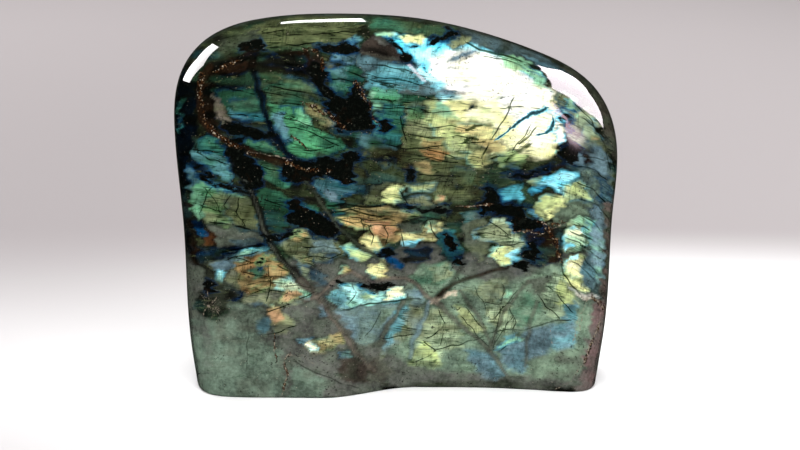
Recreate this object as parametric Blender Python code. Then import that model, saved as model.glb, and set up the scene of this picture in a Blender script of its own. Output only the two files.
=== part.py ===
"""A polished labradorite freeform: one tumbled-looking stone, sawn flat so that it stands.

Seen square on, the stone fills a closed outline that is cut off level at the foot. Its front (-Y)
and its back (+Y) bulge from that rim, each ground a little differently. The underside is the saw
cut, a flat face with an eased edge. All sizes are in millimetres here, and the mesh is made in
metres, standing on Z = 0 with its box centred on the Z axis.
"""

import math

import bpy
import numpy as np

MM = 0.001

# The rim, seen from the front, as (x, z). The last five points are the stone that was sawn away.
RIM = [
    (-67.0, 10.0), (-69.3, 49.6), (-71.8, 85.0), (-69.4, 103.0), (-61.6, 113.2), (-42.0, 120.3),
    (-19.8, 121.7), (8.0, 120.1), (32.0, 114.6), (49.0, 108.5), (66.6, 97.4), (73.6, 82.0),
    (73.0, 58.0), (70.6, 18.8), (66.7, -8.0), (58.0, -38.0), (0.0, -50.0), (-57.0, -38.0),
    (-64.1, -10.0),
]
CENTRE_X, CENTRE_Z = 0.0, 60.0  # where the front and the back are fullest
TOP_RIGHT, TOP_LEFT = math.radians(33), math.radians(142)  # where the top turns into the sides
RIM_SWAY = 1.6  # how far the rim wanders in front of and behind the middle plane

FRONT_DEPTH = 31.7  # rim to front face, near the bottom
FRONT_TAPER = 0.038  # the front thins upwards by this share of the height
BACK_DEPTH = 28.0
BACK_TAPER = 0.050
FLATNESS = 8.0  # a higher power makes a flatter face with a tighter edge
FOOT_FLATNESS = 15.5  # the sides are squarer towards the saw cut
FOOT_HEIGHT = 28.0
ROUNDNESS = 2.5  # 2 is a circular edge, and more is squarer

HOLLOW_DEPTH = 15.0  # the hollow low on the right of the front face
HOLLOW_LEFT, HOLLOW_FLOOR = -23.0, 8.0  # it deepens between these x
HOLLOW_MIDDLE = 18.0  # and from here it comes up again to the right
HOLLOW_RISE = 0.0045
HOLLOW_HEIGHT = 40.0

# Ground facets: (x, z) on the facet, its depth there, the downhill direction, and the slope.
FRONT_FACETS = [
    (54.0, 60.0, 25.5, (0.98, 0.20), 0.60),
    (50.0, 100.0, 22.5, (0.62, 0.78), 0.88),
]
BACK_FACETS = [
    (-48.0, 84.0, 23.0, (-0.86, 0.50), 0.62),
    (40.0, 96.0, 22.0, (0.45, 0.89), 0.55),
]
FACET_BLEND = 5.5  # how softly a facet meets the face beside it
WAVE_HEIGHT = 0.45  # the slow unevenness that hand grinding leaves

EASED_EDGE = 0.8  # the small bevel round the saw cut
COLUMNS = 48  # squares across each face
ROWS_BELOW, ROWS_ABOVE = 16, 24  # squares up it, below and above its middle


def closed_spline(angles, values):
    """A smooth closed curve value(angle) through the given points, as a periodic cubic spline."""
    count = len(angles)
    gaps = np.diff(np.append(angles, angles[0] + 2 * math.pi))
    slopes = np.diff(np.append(values, values[0])) / gaps
    system = np.zeros((count, count))
    for i in range(count):
        system[i, i - 1] = gaps[i - 1]
        system[i, i] = 2 * (gaps[i - 1] + gaps[i])
        system[i, (i + 1) % count] = gaps[i]
    bends = np.linalg.solve(system, 6 * (slopes - np.roll(slopes, 1)))

    def value(angle):
        turned = (angle - angles[0]) % (2 * math.pi) + angles[0]
        i = np.searchsorted(angles, turned, side="right") - 1
        step = gaps[i]
        past = turned - angles[i]
        left = step - past
        bend, next_bend = bends[i], bends[(i + 1) % count]
        here, there = values[i], values[(i + 1) % count]
        return (
            (bend * left**3 + next_bend * past**3) / (6 * step)
            + (here / step - bend * step / 6) * left
            + (there / step - next_bend * step / 6) * past
        )

    return value


def rim_radius():
    """The distance from the centre to the rim, as a function of the angle."""
    points = np.array(RIM) - (CENTRE_X, CENTRE_Z)
    angles = np.arctan2(points[:, 1], points[:, 0])
    order = np.argsort(angles)
    return closed_spline(angles[order], np.hypot(points[:, 0], points[:, 1])[order])


def on_rim(radius, angle):
    reach = radius(angle)
    return CENTRE_X + reach * np.cos(angle), CENTRE_Z + reach * np.sin(angle)


def soft_minimum(a, b, blend):
    share = np.clip(0.5 + 0.5 * (b - a) / blend, 0.0, 1.0)
    return b + (a - b) * share - blend * share * (1.0 - share)


def bulge(inward, z):
    """Fullness of a face: 1 at its middle, 0 at the rim, where inward runs from 0 to 1."""
    flatness = FLATNESS + (FOOT_FLATNESS - FLATNESS) * np.exp(-((z / FOOT_HEIGHT) ** 2))
    return (1.0 - inward**flatness) ** (1.0 / ROUNDNESS)


def waves(x, z, turn):
    """Slow unevenness from -1 to 1, different for each value of turn."""
    return 0.5 * np.sin(x / 13.0 + z / 21.0 + turn) + 0.5 * np.sin(x / 23.0 - z / 14.0 + 2 * turn)


def ground_down(depth, x, z, facets):
    for facet_x, facet_z, facet_depth, downhill, slope in facets:
        run = (x - facet_x) * downhill[0] + (z - facet_z) * downhill[1]
        depth = soft_minimum(depth, facet_depth - slope * run, FACET_BLEND)
    return depth


def hollow(x, z):
    """How deep the hollow is, fading away upwards."""
    entry = np.clip((x - HOLLOW_LEFT) / (HOLLOW_FLOOR - HOLLOW_LEFT), 0.0, 1.0)
    floor = HOLLOW_DEPTH - HOLLOW_RISE * np.maximum(x - HOLLOW_MIDDLE, 0.0) ** 2
    return floor * entry**2 * (3 - 2 * entry) * np.exp(-((z / HOLLOW_HEIGHT) ** 2))


def front_depth(x, z, inward):
    """How far the front stands before the rim."""
    full = FRONT_DEPTH - FRONT_TAPER * z - hollow(x, z) + WAVE_HEIGHT * waves(x, z, 0.4)
    return ground_down(full * bulge(inward, z), x, z, FRONT_FACETS)


def back_depth(x, z, inward):
    """How far the back stands behind the rim."""
    full = BACK_DEPTH - BACK_TAPER * z + 2 * WAVE_HEIGHT * waves(x, z, 2.1)
    return ground_down(full * bulge(inward, z), x, z, BACK_FACETS)


def even_steps(count):
    """Shares of the way from a face's middle to its rim, evenly spaced along the curved surface."""
    share = 1.0 - np.linspace(1.0, 0.0, 2001) ** 3
    run = np.hypot(np.diff(share) * CENTRE_Z, np.diff(bulge(share, CENTRE_Z)) * FRONT_DEPTH)
    length = np.append(0.0, np.cumsum(run))
    return np.interp(np.linspace(0.0, 1.0, count + 1), length / length[-1], share)


def foot_angles(radius):
    """The angles at which the rim comes down to the saw cut's edge, on the left and the right."""
    found = []
    for start, end in ((math.radians(250), math.radians(190)), (math.radians(-70), math.radians(-10))):
        angles = np.linspace(start, end, 4001)
        found.append(np.interp(EASED_EDGE, on_rim(radius, angles)[1], angles))
    return found


def outline_grid(columns, rows_below, rows_above):
    """(x, z) of a grid that fills the outline, from the saw cut up to the top rim."""
    radius = rim_radius()
    foot_left, foot_right = foot_angles(radius)
    half = even_steps(columns // 2)
    across = (np.concatenate([-half[:0:-1], half]) + 1) / 2
    low = np.linspace(0.0, 0.5, rows_below, endpoint=False)
    up = np.concatenate([low, 0.5 + 0.5 * even_steps(rows_above)])[:, None]
    left = on_rim(radius, foot_left + (TOP_LEFT - foot_left) * up)
    right = on_rim(radius, foot_right + (TOP_RIGHT - foot_right) * up)
    top = on_rim(radius, TOP_LEFT + (TOP_RIGHT - TOP_LEFT) * across)
    filled = []
    for i in range(2):
        foot = left[i][0] + (right[i][0] - left[i][0]) * across
        sides = left[i] + (right[i] - left[i]) * across
        ends = foot + (top[i] - foot) * up
        corner_high = left[i][-1] + (right[i][-1] - left[i][-1]) * across
        filled.append(sides + ends - foot - (corner_high - foot) * up)
    return filled


def face_points(x, z, depth_of, side):
    """The outline's grid laid on one face. side is -1 in front and 1 behind."""
    radius = rim_radius()
    angle = np.arctan2(z - CENTRE_Z, x - CENTRE_X)
    inward = np.clip(np.hypot(x - CENTRE_X, z - CENTRE_Z) / radius(angle), 0.0, 1.0)
    sway = RIM_SWAY * np.sin(2 * angle + 0.6) * inward
    return np.stack([x, sway + side * depth_of(x, z, inward), z], axis=-1)


def eased_foot(loop):
    """The saw cut's own outline, a bevel's width inside and below the loop above it."""
    along = np.roll(loop, -1, axis=0) - np.roll(loop, 1, axis=0)
    inwards = np.stack([-along[:, 1], along[:, 0]], axis=-1)
    inwards /= np.linalg.norm(inwards, axis=-1, keepdims=True)
    foot = loop.copy()
    foot[:, :2] += EASED_EDGE * inwards
    foot[:, 2] = 0.0
    return foot


def stone_form(columns, rows_below, rows_above):
    """(points, faces) of the whole stone, in millimetres."""
    x, z = outline_grid(columns, rows_below, rows_above)
    front = face_points(x, z, front_depth, -1.0)
    back = face_points(x, z, back_depth, 1.0)
    front_ids = np.arange(x.size).reshape(x.shape)
    back_ids = front_ids.copy()
    back_ids[:-1, 1:-1] = x.size + np.arange(back_ids[:-1, 1:-1].size).reshape(-1, columns - 1)
    points = np.concatenate([front.reshape(-1, 3), back[:-1, 1:-1].reshape(-1, 3)])
    faces = []
    for ids, turned in ((front_ids, False), (back_ids, True)):
        corners = [ids[:-1, :-1], ids[:-1, 1:], ids[1:, 1:], ids[1:, :-1]]
        square = np.stack(corners[::-1] if turned else corners, axis=-1)
        faces += square.reshape(-1, 4).tolist()
    edge = np.concatenate([front_ids[0], back_ids[0, -2:0:-1]])
    foot = len(points) + np.arange(len(edge))
    faces += np.stack([edge, foot, np.roll(foot, -1), np.roll(edge, -1)], axis=-1).tolist()
    faces.append(foot[::-1].tolist())
    return np.concatenate([points, eased_foot(points[edge])]), faces


def stone_mesh():
    points, faces = stone_form(COLUMNS, ROWS_BELOW, ROWS_ABOVE)
    middle = (points.min(axis=0) + points.max(axis=0)) / 2
    points = (points - (middle[0], middle[1], 0.0)) * MM
    mesh = bpy.data.meshes.new("stone")
    mesh.from_pydata(points.tolist(), [], faces)
    return mesh


def labradorite():
    """Dark grey-green feldspar with a glassy polish."""
    material = bpy.data.materials.new("labradorite")
    material.use_nodes = True
    shader = material.node_tree.nodes["Principled BSDF"]
    shader.inputs["Base Color"].default_value = (0.075, 0.110, 0.085, 1.0)
    shader.inputs["Roughness"].default_value = 0.08
    shader.inputs["Metallic"].default_value = 0.0
    shader.inputs["IOR"].default_value = 1.56
    return material


def main():
    for old in list(bpy.data.objects):
        bpy.data.objects.remove(old)
    mesh = stone_mesh()
    mesh.materials.append(labradorite())
    stone = bpy.data.objects.new("stone", mesh)
    bpy.context.scene.collection.objects.link(stone)
    mesh.shade_smooth()
    mesh.set_sharp_from_angle(angle=math.radians(35))


main()
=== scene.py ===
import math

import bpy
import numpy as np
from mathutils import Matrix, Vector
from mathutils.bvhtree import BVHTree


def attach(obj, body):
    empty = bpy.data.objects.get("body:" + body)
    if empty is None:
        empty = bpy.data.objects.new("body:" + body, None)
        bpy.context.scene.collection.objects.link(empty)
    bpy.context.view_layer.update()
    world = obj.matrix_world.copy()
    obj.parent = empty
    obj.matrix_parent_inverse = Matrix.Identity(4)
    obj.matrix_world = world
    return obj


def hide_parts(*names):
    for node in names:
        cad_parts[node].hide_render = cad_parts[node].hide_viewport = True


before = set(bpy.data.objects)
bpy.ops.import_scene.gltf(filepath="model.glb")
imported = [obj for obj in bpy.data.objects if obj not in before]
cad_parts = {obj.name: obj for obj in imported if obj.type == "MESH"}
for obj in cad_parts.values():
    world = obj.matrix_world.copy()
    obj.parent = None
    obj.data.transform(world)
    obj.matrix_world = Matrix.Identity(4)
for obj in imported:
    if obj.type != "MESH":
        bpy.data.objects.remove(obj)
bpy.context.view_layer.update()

# The looks of a polished labradorite freeform: one stone, whose front shows sheets of blue, green
# and gold flash between black inclusions, grey veins and a milky grey-green matrix. The flash is
# partly painted light: the sheets' layout and hues are the stone's own, but their sheen, which the
# real stone shows only toward the light, is painted into the base colour and shows from every side.
#
# The stone's form is worked out here as in its solid, but finer, in millimetres. Its markings are
# given as outlines and lines on the face as the picture shows it, in picture pixels of
# an 800 x 450 frame. They are worked out for each point of the surface, and the material then
# adds what is finer: streaks, stains, specks, ragged edges and broken lines.

MM = 0.001


def placed(name, data):
    """A new object, in the scene."""
    thing = bpy.data.objects.new(name, data)
    bpy.context.scene.collection.objects.link(thing)
    return thing


# ---------------------------------------------------------------------------------- the camera

FRAME_WIDTH, FRAME_HEIGHT = 800, 450
LENS, SENSOR = 100.0, 36.0  # millimetres
FARTHEST_SEEN = 100.0  # metres
PIXELS_PER_RADIAN = LENS / SENSOR * FRAME_WIDTH
AIM = np.array([1.2, 0.5, 51.4])
DISTANCE = 740.7
ELEVATION = math.radians(11)
RIGHTWARD = np.array([1.0, 0.0, 0.0])
FORWARD = np.array([0.0, math.cos(ELEVATION), -math.sin(ELEVATION)])
UPWARD = np.array([0.0, math.sin(ELEVATION), math.cos(ELEVATION)])
CAMERA_AT = AIM - DISTANCE * FORWARD


def make_camera():
    data = bpy.data.cameras.new("camera")
    data.lens = LENS
    data.sensor_width = SENSOR
    data.clip_end = FARTHEST_SEEN
    camera = placed("camera", data)
    camera.location = CAMERA_AT * MM
    camera.rotation_euler = (math.pi / 2 - ELEVATION, 0.0, 0.0)
    bpy.context.scene.camera = camera


def to_picture(points):
    """The picture pixels (x, y) at which points in millimetres show."""
    away = points - CAMERA_AT
    depth = away @ FORWARD
    px = FRAME_WIDTH / 2 + PIXELS_PER_RADIAN * away[:, 0] / depth
    py = FRAME_HEIGHT / 2 - PIXELS_PER_RADIAN * (away @ UPWARD) / depth
    return px, py


# --------------------------------------------------------------------------- the stone's form

# The rim's points, as (x, z), joined by a smooth closed curve. The foot cuts off the lowest.
RIM = [
    (-67.0, 10.0), (-69.3, 49.6), (-71.8, 85.0), (-69.4, 103.0), (-61.6, 113.2), (-42.0, 120.3),
    (-19.8, 121.7), (8.0, 120.1), (32.0, 114.6), (49.0, 108.5), (66.6, 97.4), (73.6, 82.0),
    (73.0, 58.0), (70.6, 18.8), (66.7, -8.0), (58.0, -38.0), (0.0, -50.0), (-57.0, -38.0),
    (-64.1, -10.0),
]
CENTRE_X, CENTRE_Z = 0.0, 60.0
TOP_RIGHT, TOP_LEFT = math.radians(33), math.radians(142)
# The stretches of the rim that hold the foot's corners, as angles from and to.
FOOT_STRETCHES = [
    (math.radians(250), math.radians(190)),
    (math.radians(-70), math.radians(-10)),
]
RIM_SWAY, RIM_SWAY_TURN = 1.6, 0.6

FRONT_DEPTH = 31.7
FRONT_TAPER = 0.038
BACK_DEPTH = 28.0
BACK_TAPER = 0.050
FLATNESS = 8.0
FOOT_FLATNESS = 15.5
FOOT_HEIGHT = 28.0
ROUNDNESS = 2.5

HOLLOW_DEPTH = 15.0
HOLLOW_LEFT, HOLLOW_FLOOR = -23.0, 8.0
HOLLOW_MIDDLE = 18.0
HOLLOW_RISE = 0.0045
HOLLOW_HEIGHT = 40.0

# Flats that are ground on the polish: x, z, the depth there, the way it falls, the slope.
FRONT_FACETS = [
    (54.0, 60.0, 25.5, (0.98, 0.20), 0.60),
    (50.0, 100.0, 22.5, (0.62, 0.78), 0.88),
]
BACK_FACETS = [
    (-48.0, 84.0, 23.0, (-0.86, 0.50), 0.62),
    (40.0, 96.0, 22.0, (0.45, 0.89), 0.55),
]
FACET_BLEND = 5.5
WAVE_HEIGHT = 0.45
LONG_WAVES, SHORT_WAVES = (23.0, 14.0), (13.0, 21.0)
FRONT_TURN, BACK_TURN = 0.4, 2.1  # so that the two faces' waves differ

EASED_EDGE = 0.8
EDGE_STEPS = 3
SIDE_DETAIL = 0.4  # how much of the sides' steepness the spacing of the grid follows
SAMPLES = 4001  # along a curve whose length or crossing is measured
COLUMNS = 304
ROWS_BELOW, ROWS_ABOVE = 120, 130


def closed_spline(angles, values):
    """A smooth closed curve value(angle) through the given points, as a periodic cubic spline."""
    count = len(angles)
    gaps = np.diff(np.append(angles, angles[0] + 2 * math.pi))
    slopes = np.diff(np.append(values, values[0])) / gaps
    system = np.zeros((count, count))
    for i in range(count):
        system[i, i - 1] = gaps[i - 1]
        system[i, i] = 2 * (gaps[i - 1] + gaps[i])
        system[i, (i + 1) % count] = gaps[i]
    bends = np.linalg.solve(system, 6 * (slopes - np.roll(slopes, 1)))

    def value(angle):
        turned = (angle - angles[0]) % (2 * math.pi) + angles[0]
        i = np.searchsorted(angles, turned, side="right") - 1
        step = gaps[i]
        past = turned - angles[i]
        left = step - past
        bend, next_bend = bends[i], bends[(i + 1) % count]
        here, there = values[i], values[(i + 1) % count]
        return (
            (bend * left**3 + next_bend * past**3) / (6 * step)
            + (here / step - bend * step / 6) * left
            + (there / step - next_bend * step / 6) * past
        )

    return value


def rim_radius():
    """The distance from the centre to the rim, as a function of the angle."""
    points = np.array(RIM) - (CENTRE_X, CENTRE_Z)
    angles = np.arctan2(points[:, 1], points[:, 0])
    order = np.argsort(angles)
    return closed_spline(angles[order], np.hypot(points[:, 0], points[:, 1])[order])


def on_rim(radius, angle):
    reach = radius(angle)
    return CENTRE_X + reach * np.cos(angle), CENTRE_Z + reach * np.sin(angle)


def soft_minimum(a, b, blend):
    share = np.clip(0.5 + 0.5 * (b - a) / blend, 0.0, 1.0)
    return b + (a - b) * share - blend * share * (1.0 - share)


def bulge(inward, z):
    """Fullness of a face: 1 at its middle, 0 at the rim, where inward runs from 0 to 1."""
    flatness = FLATNESS + (FOOT_FLATNESS - FLATNESS) * np.exp(-((z / FOOT_HEIGHT) ** 2))
    return (1.0 - inward**flatness) ** (1.0 / ROUNDNESS)


def waves(x, z, turn):
    """Slow unevenness from -1 to 1, different for each value of turn."""
    short = np.sin(x / SHORT_WAVES[0] + z / SHORT_WAVES[1] + turn)
    long = np.sin(x / LONG_WAVES[0] - z / LONG_WAVES[1] + 2 * turn)
    return 0.5 * short + 0.5 * long


def ground_down(depth, x, z, facets):
    for facet_x, facet_z, facet_depth, downhill, slope in facets:
        run = (x - facet_x) * downhill[0] + (z - facet_z) * downhill[1]
        depth = soft_minimum(depth, facet_depth - slope * run, FACET_BLEND)
    return depth


def hollow(x, z):
    """How deep the hollow low on the right of the front is."""
    entry = np.clip((x - HOLLOW_LEFT) / (HOLLOW_FLOOR - HOLLOW_LEFT), 0.0, 1.0)
    floor = HOLLOW_DEPTH - HOLLOW_RISE * np.maximum(x - HOLLOW_MIDDLE, 0.0) ** 2
    return floor * entry**2 * (3 - 2 * entry) * np.exp(-((z / HOLLOW_HEIGHT) ** 2))


def front_depth(x, z, inward):
    full = FRONT_DEPTH - FRONT_TAPER * z - hollow(x, z) + WAVE_HEIGHT * waves(x, z, FRONT_TURN)
    return ground_down(full * bulge(inward, z), x, z, FRONT_FACETS)


def back_depth(x, z, inward):
    full = BACK_DEPTH - BACK_TAPER * z + 2 * WAVE_HEIGHT * waves(x, z, BACK_TURN)
    return ground_down(full * bulge(inward, z), x, z, BACK_FACETS)


def even_steps(count):
    """Shares of the way from a face's middle to its rim, closer together on the flat of it."""
    share = 1.0 - np.linspace(1.0, 0.0, SAMPLES) ** 3
    drop = np.diff(bulge(share, CENTRE_Z)) * FRONT_DEPTH * SIDE_DETAIL
    length = np.append(0.0, np.cumsum(np.hypot(np.diff(share) * CENTRE_Z, drop)))
    return np.interp(np.linspace(0.0, 1.0, count + 1), length / length[-1], share)


def foot_angles(radius):
    """The angles at which the rim comes down to the saw cut's edge, on the left and the right."""
    found = []
    for start, end in FOOT_STRETCHES:
        angles = np.linspace(start, end, SAMPLES)
        found.append(np.interp(EASED_EDGE, on_rim(radius, angles)[1], angles))
    return found


def outline_grid():
    """(x, z) of a grid that fills the outline, from the saw cut up to the top rim."""
    radius = rim_radius()
    foot_left, foot_right = foot_angles(radius)
    half = even_steps(COLUMNS // 2)
    across = (np.concatenate([-half[:0:-1], half]) + 1) / 2
    low = np.linspace(0.0, 0.5, ROWS_BELOW, endpoint=False)
    up = np.concatenate([low, 0.5 + 0.5 * even_steps(ROWS_ABOVE)])[:, None]
    left = on_rim(radius, foot_left + (TOP_LEFT - foot_left) * up)
    right = on_rim(radius, foot_right + (TOP_RIGHT - foot_right) * up)
    top = on_rim(radius, TOP_LEFT + (TOP_RIGHT - TOP_LEFT) * across)
    filled = []
    for i in range(2):
        foot = left[i][0] + (right[i][0] - left[i][0]) * across
        sides = left[i] + (right[i] - left[i]) * across
        ends = foot + (top[i] - foot) * up
        corner_high = left[i][-1] + (right[i][-1] - left[i][-1]) * across
        filled.append(sides + ends - foot - (corner_high - foot) * up)
    return filled


def face_points(x, z, depth_of, side):
    """The outline's grid laid on one face. side is -1 in front and 1 behind."""
    radius = rim_radius()
    angle = np.arctan2(z - CENTRE_Z, x - CENTRE_X)
    inward = np.clip(np.hypot(x - CENTRE_X, z - CENTRE_Z) / radius(angle), 0.0, 1.0)
    sway = RIM_SWAY * np.sin(2 * angle + RIM_SWAY_TURN) * inward
    return np.stack([x, sway + side * depth_of(x, z, inward), z], axis=-1)


def eased_rings(loop):
    """The rounded edge between the sides and the saw cut, as rings that follow the loop above."""
    along = np.roll(loop, -1, axis=0) - np.roll(loop, 1, axis=0)
    inwards = np.stack([-along[:, 1], along[:, 0]], axis=-1)
    inwards /= np.linalg.norm(inwards, axis=-1, keepdims=True)
    rings = []
    for step in range(1, EDGE_STEPS + 1):
        turn = math.pi / 2 * step / EDGE_STEPS
        ring = loop.copy()
        ring[:, :2] += EASED_EDGE * (1 - math.cos(turn)) * inwards
        ring[:, 2] = EASED_EDGE * (1 - math.sin(turn))
        rings.append(ring)
    return rings


def squares(ids, turned):
    corners = [ids[:-1, :-1], ids[:-1, 1:], ids[1:, 1:], ids[1:, :-1]]
    return np.stack(corners[::-1] if turned else corners, axis=-1)


def back_faces(back_ids, front_ids):
    """The back's squares are twice the front's, so each one on the rim takes in a front point."""
    rows, columns = back_ids.shape[0] - 1, back_ids.shape[1] - 1
    faces = squares(back_ids[:-1, 1:-1], True).reshape(-1, 4).tolist()
    for i in range(rows):
        for j in (range(columns) if i == rows - 1 else (0, columns - 1)):
            low_left, low_right = back_ids[i, j], back_ids[i, j + 1]
            high_left, high_right = back_ids[i + 1, j], back_ids[i + 1, j + 1]
            face = [low_left, high_left, high_right, low_right]
            if j == columns - 1:
                face.insert(3, front_ids[2 * i + 1, -1])
            if i == rows - 1:
                face.insert(2, front_ids[-1, 2 * j + 1])
            if j == 0:
                face.insert(1, front_ids[2 * i + 1, 0])
            faces.append([int(v) for v in face])
    return faces


def stone_form():
    """(points, faces) of the whole stone, in millimetres, its box centred as the solid's is."""
    x, z = outline_grid()
    front = face_points(x, z, front_depth, -1.0)
    back = face_points(x[::2, ::2], z[::2, ::2], back_depth, 1.0)
    front_ids = np.arange(x.size).reshape(x.shape)
    back_ids = front_ids[::2, ::2].copy()
    inner = back_ids[:-1, 1:-1]
    back_ids[:-1, 1:-1] = x.size + np.arange(inner.size).reshape(inner.shape)
    points = np.concatenate([front.reshape(-1, 3), back[:-1, 1:-1].reshape(-1, 3)])
    faces = squares(front_ids, False).reshape(-1, 4).tolist() + back_faces(back_ids, front_ids)
    edge = np.concatenate([front_ids[0], back_ids[0, -2:0:-1]])
    above = edge
    for ring in eased_rings(points[edge]):
        below = len(points) + np.arange(len(edge))
        faces += np.stack([above, below, np.roll(below, -1), np.roll(above, -1)], axis=-1).tolist()
        points = np.concatenate([points, ring])
        above = below
    faces.append(above[::-1].tolist())
    middle = (points.min(axis=0) + points.max(axis=0)) / 2
    return points - (middle[0], middle[1], 0.0), faces


# ----------------------------------------------------------------------------- the markings
# All outlines and routes are in picture pixels, and are written as "x,y x,y x,y".

TONES = {
    "black": (6, 8, 6), "ink": (4, 14, 24), "soot": (19, 20, 15), "umber": (37, 25, 15),
    "rust": (94, 58, 32), "tan": (168, 138, 100), "bone": (198, 184, 162), "taupe": (58, 51, 45),
    "moss": (50, 60, 38), "olive": (86, 94, 62), "khaki": (132, 140, 104), "dusk": (56, 62, 50),
    "matrix": (82, 90, 78), "milk": (98, 116, 101), "sage": (112, 134, 112), "fog": (84, 86, 80),
    "ash": (88, 92, 80), "mauve": (98, 80, 78), "slate": (66, 86, 90), "steel": (84, 122, 130),
    "sky": (98, 154, 160), "haze": (104, 130, 138), "navy": (6, 32, 60), "cobalt": (12, 68, 112),
    "cyan": (92, 208, 234), "ice": (186, 246, 252), "teal": (38, 94, 98), "pine": (32, 66, 46),
    "jade": (54, 106, 82), "sea": (74, 142, 98), "mint": (142, 200, 164), "leaf": (94, 128, 84),
    "lime": (184, 200, 134), "straw": (230, 230, 162), "cream": (252, 250, 208),
    "white": (255, 255, 252), "sand": (156, 140, 96), "gold": (184, 160, 106),
    "amber": (142, 100, 60), "peach": (188, 150, 112), "azure": (84, 168, 184),
    "pearl": (160, 180, 146), "drab": (100, 92, 82),
}

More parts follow.
